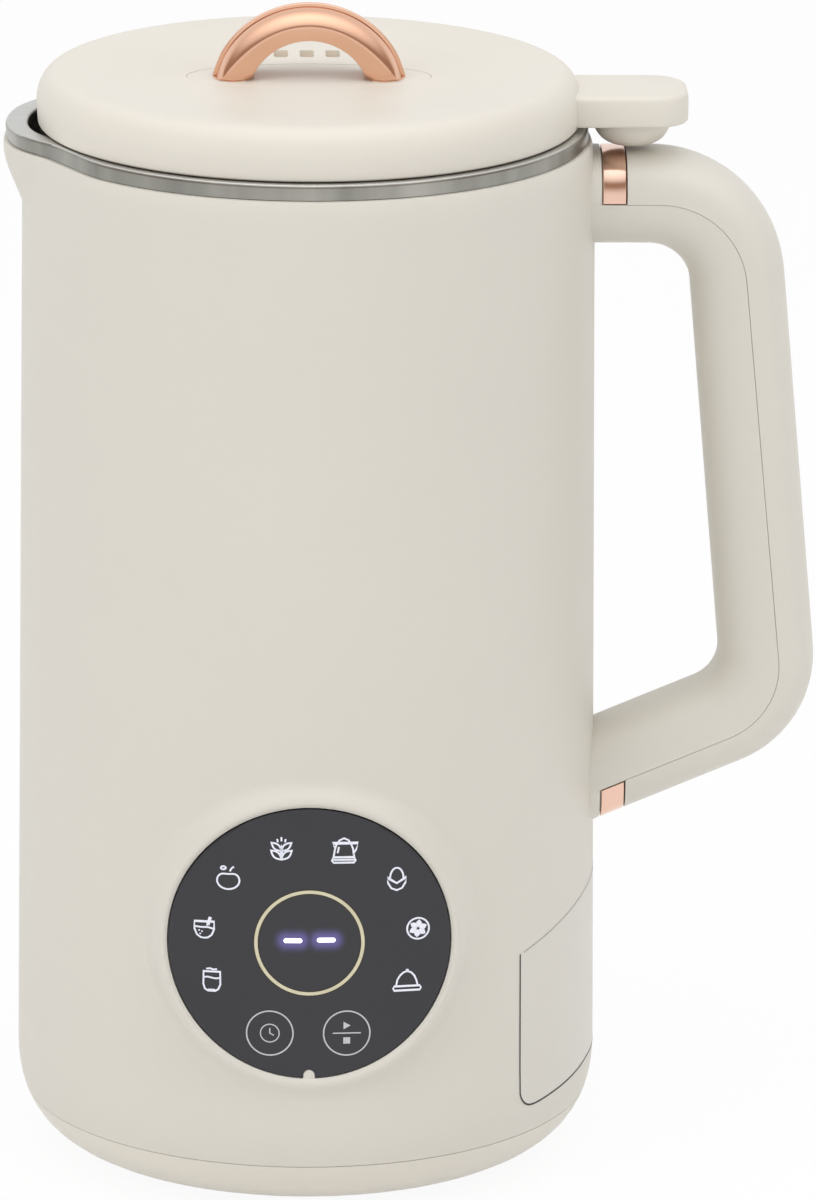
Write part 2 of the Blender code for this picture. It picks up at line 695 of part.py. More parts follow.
def make_base_cover(jug):
    """Round-cornered bottom cover with its tongue, vents, foot seats and screw bosses."""
    top = SEAM_Z - SEAM_GAP / 2
    tongue = body_radius(SEAM_Z) - BODY_WALL - GAP
    outside = [(body_radius(height), height) for height in spread(BASE_Z, top, BASE_CURVE_SHARES)]
    inside = [(tongue - BASE_TONGUE_WALL, top + BASE_TONGUE_HEIGHT), (tongue - BASE_TONGUE_WALL, top)]
    for radius, height in reversed(outside[1:-1:2]):
        share = (radius - FLAT_RADIUS) / (tongue - FLAT_RADIUS)
        inside.append((radius - BASE_WALL * (1 + share) / 2, height + BASE_WALL))
    profile = outside + [(tongue, top), (tongue, top + BASE_TONGUE_HEIGHT)] + inside
    rings = [plain_ring(radius, height) for radius, height in profile]
    rings.append(plain_ring(FLAT_RADIUS, BASE_FLOOR_Z))
    cover = finish("base_cover", loft(bmesh.new(), rings), "cream", jug, crease=SOFT_CREASE_DEGREES)

    bosses = bmesh.new()
    for turn in around(SCREW_COUNT, 0.5):
        at = Vector((SCREW_CIRCLE * math.cos(turn), SCREW_CIRCLE * math.sin(turn), 0))
        top_of_head = BASE_Z + DRIVE_DEPTH + SCREW_HEAD_HEIGHT + GAP
        rod_into(bosses, SCREW_HEAD_RADIUS + SCREW_BOSS_WALL, at + Vector((0, 0, BASE_Z + BASE_WALL / 2)),
                 at + Vector((0, 0, top_of_head + BASE_WALL)))
    for side in (-1, 1):
        edge = side * POWER_BOARD_WIDTH / 2
        box_into(bosses, (-POWER_BOARD_PLACE - BOARD_RIB_DEPTH / 2, edge - BOARD_RIB_WIDTH / 2, BASE_FLOOR_Z),
                 (-POWER_BOARD_PLACE + BOARD_RIB_DEPTH / 2, edge + BOARD_RIB_WIDTH / 2,
                  BASE_FLOOR_Z + BOARD_RIB_HEIGHT))
    join(cover, finish("base_bosses", bosses, None, jug))

    tools = bmesh.new()
    for turn in around(SCREW_COUNT, 0.5):
        at = Vector((SCREW_CIRCLE * math.cos(turn), SCREW_CIRCLE * math.sin(turn), 0))
        head_top = BASE_Z + DRIVE_DEPTH + SCREW_HEAD_HEIGHT
        radius = SCREW_HEAD_RADIUS + GAP
        profile = [(0.0, BASE_Z - OVERRUN), (radius, BASE_Z - OVERRUN), (radius, head_top + GAP),
                   (SCREW_SHANK_RADIUS + GAP, head_top + GAP),
                   (SCREW_SHANK_RADIUS + GAP, head_top + BASE_WALL + OVERRUN),
                   (0.0, head_top + BASE_WALL + OVERRUN)]
        hole = turned(bmesh.new(), profile, SMALL_ROUND, closed=False)
        bmesh.ops.translate(hole, vec=at, verts=hole.verts)
        copy_into(tools, hole)
    for turn in around(FOOT_COUNT):
        at = Vector((FOOT_CIRCLE * math.cos(turn), FOOT_CIRCLE * math.sin(turn), 0))
        rod_into(tools, FOOT_RADIUS + GAP, at + Vector((0, 0, BASE_Z - OVERRUN)),
                 at + Vector((0, 0, BASE_Z + FOOT_SEAT_DEPTH)), ROUND)
    for turn in around(VENT_COUNT, 0.5):
        box_into(tools, (VENT_INNER_RADIUS, -VENT_WIDTH / 2, BASE_Z - OVERRUN),
                 (VENT_OUTER_RADIUS, VENT_WIDTH / 2, BASE_FLOOR_Z + OVERRUN), turn)
    for side in (-1, 1):
        edge = side * POWER_BOARD_WIDTH / 2
        slot = BOARD_THICKNESS / 2 + GAP
        ends = sorted((edge + side * GAP, edge - side * BOARD_RIB_WIDTH))
        box_into(tools, (-POWER_BOARD_PLACE - slot, ends[0], POWER_BOARD_LOW - GAP),
                 (-POWER_BOARD_PLACE + slot, ends[1], BASE_FLOOR_Z + BOARD_RIB_HEIGHT + OVERRUN))
    cut(cover, finish("base_cuts", tools, None, jug))
    return cover


def copy_into(target, source):
    """Move the geometry of one bmesh into another."""
    data = bpy.data.meshes.new("moved")
    source.to_mesh(data)
    source.free()
    target.from_mesh(data)
    bpy.data.meshes.remove(data)


def make_feet(jug):
    """Rubber feet in their seats under the base."""
    for index, turn in enumerate(around(FOOT_COUNT)):
        profile = [(0.0, 0.0), (FOOT_RADIUS - FOOT_EDGE, 0.0), (FOOT_RADIUS, FOOT_EDGE),
                   (FOOT_RADIUS, BASE_Z + FOOT_SEAT_DEPTH - GAP), (0.0, BASE_Z + FOOT_SEAT_DEPTH - GAP)]
        at = (FOOT_CIRCLE * math.cos(turn), FOOT_CIRCLE * math.sin(turn), 0.0)
        turned_piece(f"foot_{index + 1}", profile, "rubber", jug, ROUND, closed=False, place=at)


def screw_profile(shank, head, head_height, length):
    """Half section of a pan screw that stands on its head, with its drive recess."""
    return [(0.0, DRIVE_DEPTH), (DRIVE_RADIUS, DRIVE_DEPTH), (DRIVE_RADIUS, 0.0), (head, 0.0),
            (head, head_height), (shank, head_height), (shank, length), (0.0, length + shank / 2)]


def make_base_screws(jug):
    """Screws that hold the base cover to the chassis posts."""
    profile = screw_profile(SCREW_SHANK_RADIUS, SCREW_HEAD_RADIUS, SCREW_HEAD_HEIGHT, SCREW_LENGTH)
    for index, turn in enumerate(around(SCREW_COUNT, 0.5)):
        at = (SCREW_CIRCLE * math.cos(turn), SCREW_CIRCLE * math.sin(turn), BASE_Z + DRIVE_DEPTH)
        turned_piece(f"base_screw_{index + 1}", profile, "steel", jug, SCREW_ROUND, closed=False, place=at)


# Housing with its spout and the panel's boss

STRAIGHT_SHARES = (0.0, 0.45, 1.0)
SPOUT_SHARES = (0.0, 0.12, 0.3, 0.5, 0.7, 0.85, 1.0)


def neck_radii():
    """Inner and outer radius of the housing's neck, which fills the rolled rim."""
    return RIM_RADIUS - RIM_FACE + STEEL + GAP, RIM_RADIUS - STEEL - GAP


def make_outer_shell(jug):
    """The cream housing: foot edge, tapered wall, spout, shoulder and the neck inside the rolled rim."""
    low = SEAM_Z + SEAM_GAP / 2
    top = RIM_LOW_Z - GAP
    neck_in, neck_out = neck_radii()
    neck_top = RIM_TOP_Z - STEEL - GAP
    rings = [jug_ring(body_radius(height), height) for height in spread(low, ROUND_Z, STRAIGHT_SHARES)]
    rings += [jug_ring(body_radius(height), height) for height in spread(SPOUT_Z, top, SPOUT_SHARES)]
    rings.append(jug_ring(neck_out, top))
    rings.append(jug_ring(neck_out, neck_top))
    rings.append(jug_ring(neck_in, neck_top, False))
    rings.append(jug_ring(neck_in, top - BODY_WALL, False))
    inner_heights = spread(SPOUT_Z, top - 2 * BODY_WALL, SPOUT_SHARES[::2])
    rings += [jug_ring(body_radius(height) - BODY_WALL, height) for height in reversed(inner_heights)]
    rings.append(plain_ring(body_radius(ROUND_Z) - BODY_WALL, ROUND_Z))
    rings.append(plain_ring(body_radius(SEAM_Z) - BODY_WALL, low))
    shell = finish("outer_shell", loft(bmesh.new(), rings, closed=True), "cream", jug, crease=HARD_CREASE_DEGREES)

    join(shell, make_panel_boss(jug))
    cut(shell, curved_disc("panel_rebate", PANEL_RADIUS + GAP, -OVERRUN, PANEL_THICKNESS + GAP, None, jug))
    front = panel_front(0.0)
    join(shell, notch_tool("panel_tab", NOTCH_RADIUS - GAP, front + GAP, front + PANEL_THICKNESS + BODY_WALL / 2, jug))
    tools = bmesh.new()
    rod_into(tools, PANEL_HOLE, (0, -BODY_RADIUS - OVERRUN, PANEL_HEIGHT), (0, -CHASSIS_RADIUS, PANEL_HEIGHT), PANEL_STEPS)
    box_into(tools, (-INLET_WIDTH / 2 - GAP, CHASSIS_RADIUS, INLET_HEIGHT - INLET_TALL / 2 - GAP),
             (INLET_WIDTH / 2 + GAP, BODY_RADIUS + OVERRUN, INLET_HEIGHT + INLET_TALL / 2 + GAP))
    for height in handle_screw_heights():
        rod_into(tools, HANDLE_SCREW_SHANK + GAP, (CUP_RADIUS + STEEL, 0, height), (BODY_RADIUS + OVERRUN, 0, height))
    cut(shell, finish("shell_holes", tools, None, jug))
    return shell


def panel_front(x):
    """Depth of the panel's curved face at a distance from its centre line."""
    face = body_radius(PANEL_HEIGHT) + PANEL_PROUD
    return -face + PANEL_CURVE - math.sqrt(PANEL_CURVE ** 2 - x ** 2)


def notch_tool(name, radius, front, back, jug):
    """A round-topped tab at the foot of the panel, between two depths."""
    edge = PANEL_HEIGHT - PANEL_RADIUS
    outline = arc_points(0.0, edge + NOTCH_DEPTH - NOTCH_RADIUS, radius, 0.0, math.pi, NOTCH_STEPS)
    outline += [(-radius, edge - PANEL_MARGIN / 2), (radius, edge - PANEL_MARGIN / 2)]
    return finish(name, upright_prism(outline, front, back), None, jug)


def curved_disc(name, radius, front, back, finish_name, jug):
    """A round disc bent like the panel, between two depths behind the panel's face."""
    reach = radius + OVERRUN
    count = PANEL_STEPS // 2
    columns = [reach * (2 * step / count - 1) for step in range(count + 1)]
    outline = [(x, panel_front(x) + front) for x in columns]
    outline += [(x, panel_front(x) + back) for x in reversed(columns)]
    slab = prism(bmesh.new(), outline, PANEL_HEIGHT - reach, PANEL_HEIGHT + reach)
    disc = finish(name, slab, finish_name, jug)
    face = -body_radius(PANEL_HEIGHT) - PANEL_PROUD
    round_off = rod_tool(f"{name}_outline", radius, (0, face - BODY_WALL, PANEL_HEIGHT),
                         (0, face + PANEL_RADIUS / 2, PANEL_HEIGHT), jug, 2 * PANEL_STEPS)
    combine(disc, round_off, "INTERSECT")
    return disc


BOSS_SHARES = (0.0, 0.2, 0.45, 0.7, 1.0)


def make_panel_boss(jug):
    """Soft raised boss that carries the panel on the round wall."""
    edge = PANEL_RADIUS + PANEL_MARGIN
    rings = []
    for reach, blend, depth in boss_stations(edge):
        ring = []
        for turn in around(PANEL_STEPS, 0.5):
            x = reach * math.cos(turn)
            z = PANEL_HEIGHT + reach * math.sin(turn)
            wall = -math.sqrt(body_radius(z) ** 2 - x ** 2)
            ring.append((x, panel_front(x) * (1 - blend) + (wall + depth) * blend, z))
        rings.append(ring)
    return finish("panel_boss", loft(bmesh.new(), rings), None, jug)


def boss_stations(edge):
    """Radius, blend towards the wall and depth under it for each ring of the boss."""
    core = edge * BOSS_CORE_SHARE
    stations = [(core, 0.0, 0.0)]
    for share in BOSS_SHARES:
        blend = (1 - math.cos(math.pi * share)) / 2
        stations.append((edge + PANEL_SHOULDER * share, blend, PANEL_SINK))
    stations.append((edge + PANEL_SHOULDER, 1.0, BODY_WALL - PANEL_SINK))
    stations.append((core, 1.0, BODY_WALL - PANEL_SINK))
    return stations


# Steel cup

FLARE_SHARES = [step / FLARE_STEPS for step in range(FLARE_STEPS + 1)]


def make_steel_cup(jug):
    """Deep steel cup whose mouth flares, forms the spout and rolls over the housing's neck."""
    mouth = RIM_RADIUS - RIM_FACE
    seat = SEAL_BUSH_RADIUS + GAP
    heights = spread(SPOUT_Z, RIM_TOP_Z - RIM_LIP, FLARE_SHARES)
    flare = [cup_wall(height) for height in heights]
    rings = [plain_ring(seat, CUP_FLOOR_Z)]
    rings += [plain_ring(radius, height) for radius, height in cup_corner(CUP_RADIUS, CUP_FLOOR_Z, CUP_CORNER)]
    rings += [jug_ring(radius, height, False) for radius, height in zip(flare, heights)]
    rings.append(jug_ring(mouth + RIM_LIP, RIM_TOP_Z, False))
    rings.append(jug_ring(RIM_RADIUS - RIM_EDGE, RIM_TOP_Z))
    rings.append(jug_ring(RIM_RADIUS, RIM_TOP_Z - RIM_EDGE))
    rings.append(jug_ring(RIM_RADIUS, RIM_LOW_Z))
    rings.append(jug_ring(RIM_RADIUS - STEEL, RIM_LOW_Z))
    rings.append(jug_ring(RIM_RADIUS - STEEL, RIM_TOP_Z - STEEL))
    rings.append(jug_ring(mouth + STEEL, RIM_TOP_Z - STEEL, False))
    outer = list(zip(flare, heights))[:-1]
    rings += [jug_ring(radius + STEEL, height, False) for radius, height in reversed(outer)]
    corner = cup_corner(CUP_RADIUS + STEEL, CUP_BASE_Z, CUP_CORNER + STEEL)
    rings += [plain_ring(radius, height) for radius, height in reversed(corner)]
    rings.append(plain_ring(seat, CUP_BASE_Z))
    return finish("steel_cup", loft(bmesh.new(), rings, closed=True), "steel", jug, crease=HARD_CREASE_DEGREES)


def cup_wall(height):
    """Inner radius of the cup at a height, which flares towards its mouth."""
    share = max(0.0, (height - SPOUT_Z) / (RIM_TOP_Z - RIM_LIP - SPOUT_Z))
    return CUP_RADIUS + (RIM_RADIUS - RIM_FACE - CUP_RADIUS) * share ** 2


def cup_corner(radius, floor, corner):
    """The rounded corner between the cup's floor and wall."""
    return arc_points(radius - corner, floor + corner, corner, -math.pi / 2, 0.0, CUP_CORNER_STEPS)


# Touch panel, display and control board

def make_panel(jug):
    """Window with its notch, the lit display, the board behind and the two key springs."""
    window = curved_disc("display_window", PANEL_RADIUS, 0.0, PANEL_THICKNESS, "dark_window", jug)
    front = panel_front(0.0)
    back = front + PANEL_THICKNESS
    cut(window, notch_tool("window_notch", NOTCH_RADIUS, front - OVERRUN, back + OVERRUN, jug))
    module_front = back + GAP + digit_clearance()
    board_front = module_front + DISPLAY_DEPTH + GAP
    make_display(jug, module_front)
    board = finish("control_board", bmesh_rod(BOARD_RADIUS, (0, board_front, PANEL_HEIGHT),
                                              (0, board_front + BOARD_THICKNESS, PANEL_HEIGHT), MOTOR_ROUND),
                   "board_green", jug)
    for side, label in ((-1, "left"), (1, "right")):
        x = side * KEY_SPREAD
        front = panel_front(x) + PANEL_THICKNESS + GAP
        make_key_spring(f"touch_spring_{label}", jug, x, front, board_front - GAP)
    return board


def digit_clearance():
    """How far the display's flat face stands back so that its corners clear the bent window."""
    return panel_front(DISPLAY_WIDTH / 2) - panel_front(0.0)


def bmesh_rod(radius, start, end, steps):
    """A bmesh that holds one rod."""
    mesh = bmesh.new()
    rod_into(mesh, radius, start, end, steps)
    return mesh


def make_display(jug, front):
    """Display module with its two lit bars sunk in its face."""
    low = (-DISPLAY_WIDTH / 2, front, PANEL_HEIGHT - DISPLAY_HEIGHT / 2)
    high = (DISPLAY_WIDTH / 2, front + DISPLAY_DEPTH, PANEL_HEIGHT + DISPLAY_HEIGHT / 2)
    module = box_piece("digit_display", low, high, "lamp", jug)
    tools = bmesh.new()
    for side in (-1, 1):
        x = side * DIGIT_PITCH / 2
        box_into(tools, (x - DIGIT_WIDTH / 2, front - OVERRUN, PANEL_HEIGHT - DIGIT_STROKE / 2),
                 (x + DIGIT_WIDTH / 2, front + DIGIT_SINK, PANEL_HEIGHT + DIGIT_STROKE / 2))
    cut(module, finish("digit_bars", tools, None, jug))


def make_key_spring(name, jug, x, front, back):
    """Coil spring that joins a touch key to the board."""
    turns = KEY_TURNS * KEY_TURN_STEPS
    radius = KEY_SPRING_RADIUS - KEY_WIRE / 2
    reach = back - front - KEY_WIRE
    curve = bpy.data.curves.new(name, "CURVE")
    curve.dimensions = "3D"
    curve.bevel_depth = KEY_WIRE / 2
    curve.bevel_resolution = 0
    curve.use_fill_caps = True
    spline = curve.splines.new("POLY")
    spline.points.add(turns)
    for step, point in enumerate(spline.points):
        turn = math.tau * step / KEY_TURN_STEPS
        depth = front + KEY_WIRE / 2 + reach * step / turns
        place = (x + radius * math.cos(turn), depth, PANEL_HEIGHT - KEY_DROP + radius * math.sin(turn))
        point.co = (*place, 1.0)
    curve.materials.append(material("brass"))
    spring = bpy.data.objects.new(name, curve)
    spring.parent = jug
    bpy.context.scene.collection.objects.link(spring)
    return spring


# Handle: three rails in the XZ plane carry its sections

def rounded_rail(points, radii, grip_steps):
    """A rail of straight runs with arcs at its two corners, with a fixed number of stations."""
    stations = [Vector(points[0])]
    for index, radius in enumerate(radii):
        before, corner, after = (Vector(point) for point in points[index:index + 3])
        into = (corner - before).normalized()
        out = (after - corner).normalized()
        bend = into.angle(out)
        setback = radius * math.tan(bend / 2)
        start = corner - into * setback
        side = (out - into * into.dot(out)).normalized()
        centre = start + side * radius
        if index:
            last = stations[-1]
            stations += [last.lerp(start, step / (grip_steps + 1)) for step in range(1, grip_steps + 1)]
        for step in range(CORNER_STEPS + 1):
            turn = bend * step / CORNER_STEPS
            stations.append(centre + (into * math.sin(turn) - side * math.cos(turn)) * radius)
    stations.append(Vector(points[-1]))
    return stations


def handle_rails():
    """Outer, seam and inner rails, each from the housing out, down the grip and back."""
    start = BODY_TOP_RADIUS - BODY_WALL
    slope = math.tan(LOWER_SLOPE)
    outer = [(start, HANDLE_TOP), (GRIP_REACH, HANDLE_TOP), (HANDLE_FOOT_X, HANDLE_FOOT_Z)]
    outer.append((start, HANDLE_FOOT_Z - (HANDLE_FOOT_X - start) * slope))
    seam_top = HANDLE_TOP - HANDLE_SEAM_DEPTH
    seam_x = GRIP_REACH - GRIP_SEAM_DEPTH
    foot_x = HANDLE_FOOT_X - LOWER_SEAM_DEPTH
    foot_z = HANDLE_FOOT_Z + LOWER_SEAM_LIFT
    seam = [(start, seam_top), (seam_x, seam_top), (foot_x, foot_z), (start, foot_z - (foot_x - start) * slope)]
    inner_top = HANDLE_TOP - HANDLE_TOP_DEPTH
    inner_x = GRIP_REACH - GRIP_DEPTH
    foot_x = inner_x + INNER_LEAN
    foot_z = inner_top - INNER_FALL
    inner = [(start, inner_top), (inner_x, inner_top), (foot_x, foot_z), (start, foot_z - (foot_x - start) * slope)]
    return (rounded_rail(outer, (OUTER_CORNER_TOP, OUTER_CORNER_LOW), GRIP_STEPS),
            rounded_rail(seam, (SEAM_CORNER_TOP, SEAM_CORNER_LOW), GRIP_STEPS),
            rounded_rail(inner, (INNER_CORNER_TOP, INNER_CORNER_LOW), GRIP_STEPS))


def half_section(seam, edge, inset, lift=0.0, steps=SECTION_STEPS):
    """Half of a superellipse between the seam and an edge rail, drawn in by an inset."""
    away = edge - seam
    depth = away.length - inset
    aim = away.normalized()
    half = HANDLE_WIDTH / 2 - inset
    points = []
    for step in range(steps + 1):
        turn = math.pi * step / steps
        across = half * math.copysign(abs(math.cos(turn)) ** (2 / HANDLE_POWER), math.cos(turn))
        out = lift + (depth - lift) * math.sin(turn) ** (2 / HANDLE_POWER)
        spot = seam + aim * out
        points.append((spot.x, across, spot.y))
    return points


def channel_section(seam, edge):
    """The C-shaped section of one half of the handle, with half the seam's gap."""
    outer = half_section(seam, edge, 0.0, SEAM_GAP / 2)
    inner = half_section(seam, edge, HANDLE_WALL, SEAM_GAP / 2)
    return outer + inner[::-1]


def run_to(section, slope, place):
    """Slide a section along its arm, which may slope, to a place on X."""
    return [(place, y, z + (place - x) * slope) for x, y, z in section]


def housing_tool(jug):
    """The housing's outside plus a gap, to cut the handle's ends to its wall."""
    rings = [plain_ring(body_radius(height) + GAP, height) for height in (ROUND_Z, RIM_LOW_Z - SHOULDER_HEIGHT)]
    rings.append(plain_ring(body_radius(RIM_LOW_Z - SHOULDER_HEIGHT) + GAP, RIM_TOP_Z))
    return finish("housing_outside", loft(bmesh.new(), rings), None, jug)


def trim_place(seam):
    """Where the trim begins on X, from the end of the seam's rail."""
    return body_radius(seam.y) + TRIM_STANDOFF


def handle_screw_heights():
    """Heights of the two screws that hold the handle to the housing."""
    rails = handle_rails()
    return HANDLE_TOP - HANDLE_SCREW_DROP, rails[0][-1].y + HANDLE_SCREW_LIFT


def make_handle(jug):
    """Both halves of the handle, its two rose gold trims and its screws."""
    outer, seam, inner = handle_rails()
    slopes = (0.0, math.tan(LOWER_SLOPE))
    cover = [channel_section(mid, edge) for mid, edge in zip(seam, outer)]
    for index, slope in zip((0, -1), slopes):
        cover[index] = run_to(cover[index], slope, trim_place(seam[index]) + TRIM_WIDTH + 2 * GAP)
    finish("handle_outer", loft(bmesh.new(), cover), "cream", jug)

    lower = [channel_section(mid, edge) for mid, edge in zip(seam, inner)]
    grip = finish("handle_inner", loft(bmesh.new(), lower), "cream", jug)
    ends = zip((0, -1), slopes, ("upper", "lower"), handle_screw_heights())
    for index, slope, label, height in ends:
        block = end_block(outer[index], seam[index], inner[index], slope)
        join(grip, finish(f"handle_block_{label}", block, None, jug))
        make_trim(label, outer[index], seam[index], slope, jug)
        start = BODY_RADIUS - BODY_WALL
        tip = start + HANDLE_SCREW_REACH + BODY_WALL
        cut(grip, rod_tool(f"handle_hole_{label}", HANDLE_SCREW_SHANK + GAP, (start, 0, height), (tip, 0, height), jug))
        make_handle_screw(label, height, jug)
    cut(grip, housing_tool(jug))
    return grip


def end_block(outer, seam, inner, slope):
    """Solid end of the inner half, stepped down where the trim wraps it."""
    full = whole_section(outer, seam, inner, 0.0)
    thin = whole_section(outer, seam, inner, TRIM_WALL + GAP)
    start = trim_place(seam)
    end = start + TRIM_WIDTH + GAP
    rings = [full, run_to(full, slope, start), run_to(thin, slope, start), run_to(thin, slope, end)]
    return loft(bmesh.new(), rings)


def whole_section(outer, seam, inner, inset):
    """Full section of the handle, with its inner half held just inside the channel's wall."""
    above = half_section(seam, outer, inset)
    below = half_section(seam, inner, HANDLE_BLOCK_OVERLAP)
    return above + below[::-1][1:-1]


def make_trim(label, outer, seam, slope, jug):
    """Rose gold band round the outer half of the handle's end."""
    start = trim_place(seam) + GAP
    end = start + TRIM_WIDTH
    around_block = half_section(seam, outer, 0.0, SEAM_GAP) + half_section(seam, outer, TRIM_WALL, SEAM_GAP)[::-1]
    rings = [run_to(around_block, slope, start), run_to(around_block, slope, end)]
    finish(f"handle_trim_{label}", loft(bmesh.new(), rings), "rose_gold", jug)


def make_handle_screw(label, height, jug):
    """Screw from inside the housing into the handle's solid end."""
    profile = screw_profile(HANDLE_SCREW_SHANK, HANDLE_SCREW_HEAD, HANDLE_SCREW_HEAD_HEIGHT,
                            HANDLE_SCREW_HEAD_HEIGHT + BODY_WALL + HANDLE_SCREW_REACH)
    mesh = turned(bmesh.new(), profile, SCREW_ROUND, closed=False)
    bmesh.ops.rotate(mesh, cent=(0, 0, 0), matrix=Matrix.Rotation(math.pi / 2, 3, "Y"), verts=mesh.verts)
    inside = math.sqrt((body_radius(height) - BODY_WALL) ** 2 - HANDLE_SCREW_HEAD ** 2)
    start = inside * math.cos(FACET_HALF_ANGLE) - HANDLE_SCREW_HEAD_HEIGHT - GAP
    finish(f"handle_screw_{label}", mesh, "steel", jug, (start, 0, height))


# Lid with its arm, arch and seal

def lid_side(inset):
    """The lid's side from its foot to its plateau, drawn in by an inset."""
    side_top = LID_Z + LID_HEIGHT * LID_SIDE_SHARE
    rise = LID_TOP_Z - side_top - inset
    reach = LID_RADIUS - LID_PLATEAU_RADIUS
    points = [(LID_RADIUS - LID_FOOT_INSET - inset, LID_Z), (LID_RADIUS - inset, side_top)]
    for step in range(1, LID_ROUND_STEPS + 1):
        turn = math.pi / 2 * step / LID_ROUND_STEPS
        points.append((LID_PLATEAU_RADIUS - inset + reach * math.cos(turn), side_top + rise * math.sin(turn)))
    return points


def lid_dish(inset):
    """The lid's shallow dish from its plateau down to the flat middle, ending on the axis."""
    points = []
    for step in range(1, LID_DISH_STEPS + 1):
        share = step / LID_DISH_STEPS
        radius = LID_PLATEAU_RADIUS - inset + (LID_FLAT_RADIUS - LID_PLATEAU_RADIUS + inset) * share
        points.append((radius, LID_TOP_Z - inset - LID_DISH * (1 - math.cos(math.pi * share)) / 2))
    return points + [(0.0, LID_FLAT_Z - inset)]


def make_lid_cover(lid):
    """Lid cover with its hollow underside, the arm, the insert's recess and the steam slots."""
    profile = lid_side(0.0) + lid_dish(0.0)
    profile += lid_dish(LID_WALL)[::-1] + lid_side(LID_WALL)[::-1]
    cover_mesh = turned(bmesh.new(), profile, LID_STEPS)
    cover = finish("lid_cover", cover_mesh, "lid_cream", lid, crease=SOFT_CREASE_DEGREES)
    join(cover, make_lid_arm(lid))
    tools = bmesh.new()
    prism(tools, oval(INSERT_HALF_LENGTH + GAP, INSERT_HALF_WIDTH + GAP, INSERT_STEPS),
          LID_FLAT_Z - INSERT_THICKNESS, LID_FLAT_Z + OVERRUN)
    for index in range(VENT_SLOT_COUNT):
        x = (index - (VENT_SLOT_COUNT - 1) / 2) * VENT_SLOT_PITCH
        box_into(tools, (x - VENT_SLOT_WIDTH / 2, VENT_SLOT_BACK - VENT_SLOT_LENGTH / 2, LID_FLAT_Z - 2 * LID_WALL),
                 (x + VENT_SLOT_WIDTH / 2, VENT_SLOT_BACK + VENT_SLOT_LENGTH / 2, LID_FLAT_Z + OVERRUN))
    cut(cover, finish("lid_cuts", tools, None, lid))
    return cover


def make_lid_arm(lid):
    """Flat arm that reaches from the lid over the handle."""
    root = LID_RADIUS - LID_WALL / 2
    half = ARM_WIDTH / 2
    swing = math.asin(half / root)
    outline = arc_points(0.0, 0.0, root, -swing, swing, ARM_ROOT_STEPS)
    centre = ARM_REACH - ARM_CORNER
    outline += arc_points(centre, half - ARM_CORNER, ARM_CORNER, math.pi / 2, 0.0, ARM_CORNER_STEPS)
    outline += arc_points(centre, ARM_CORNER - half, ARM_CORNER, 0.0, -math.pi / 2, ARM_CORNER_STEPS)
    mesh = prism(bmesh.new(), outline, ARM_Z, ARM_Z + ARM_THICKNESS)
    outside = [edge for edge in mesh.edges if abs(edge.verts[0].co.z - edge.verts[1].co.z) < WELD
               and min(Vector(vert.co.xy).length for vert in edge.verts) > root + WELD]
    bmesh.ops.bevel(mesh, geom=outside, offset=ARM_EDGE, segments=ARM_EDGE_STEPS, affect="EDGES")
    return finish("lid_arm", mesh, None, lid)


def arch_section(share):
    """One section of the arch, square to its span, with a crowned back that fades into its feet."""
    turn = math.pi * share
    cosine = math.cos(turn)
    rise = abs(math.sin(turn)) ** (2 / ARCH_POWER)

    def rail(half_span, height):
        return Vector((-half_span * math.copysign(abs(cosine) ** (2 / ARCH_POWER), cosine), height * rise))

    inner = rail(ARCH_INNER_HALF_SPAN, ARCH_INNER_RISE)
    crease = rail(ARCH_HALF_SPAN, ARCH_CREASE_RISE)
    outer = rail(ARCH_HALF_SPAN, ARCH_RISE)
    half = ARCH_DEPTH / 2
    base = LID_FLAT_Z + GAP
    points = [(inner.x, half, base + inner.y), (inner.x, -half, base + inner.y)]
    for step in range(ARCH_CROWN_STEPS + 1):
        lean = math.pi * step / ARCH_CROWN_STEPS
        spot = crease.lerp(outer, math.sin(lean))
        points.append((spot.x, -half * math.cos(lean), base + spot.y))
    return points


def make_lid_fittings(lid):
    """Oval insert, the arch on it, and the baffle under the steam slots."""
    mesh = prism(bmesh.new(), oval(INSERT_HALF_LENGTH, INSERT_HALF_WIDTH, INSERT_STEPS),
                 LID_FLAT_Z - INSERT_THICKNESS + GAP, LID_FLAT_Z)
    finish("handle_plate", mesh, "lid_cream", lid)
    sections = [arch_section(step / ARCH_STEPS) for step in range(ARCH_STEPS + 1)]
    finish("lid_handle", loft(bmesh.new(), sections), "rose_gold", lid)
    reach = VENT_SLOT_PITCH * (VENT_SLOT_COUNT - 1) / 2 + VENT_SLOT_WIDTH / 2 + BAFFLE_MARGIN
    top = LID_FLAT_Z - LID_WALL - GAP
    box_piece("steam_baffle", (-reach, VENT_SLOT_BACK - VENT_SLOT_LENGTH / 2 - BAFFLE_MARGIN, top - BAFFLE_THICKNESS),
              (reach, VENT_SLOT_BACK + VENT_SLOT_LENGTH / 2 + BAFFLE_MARGIN, top), "beige", lid)


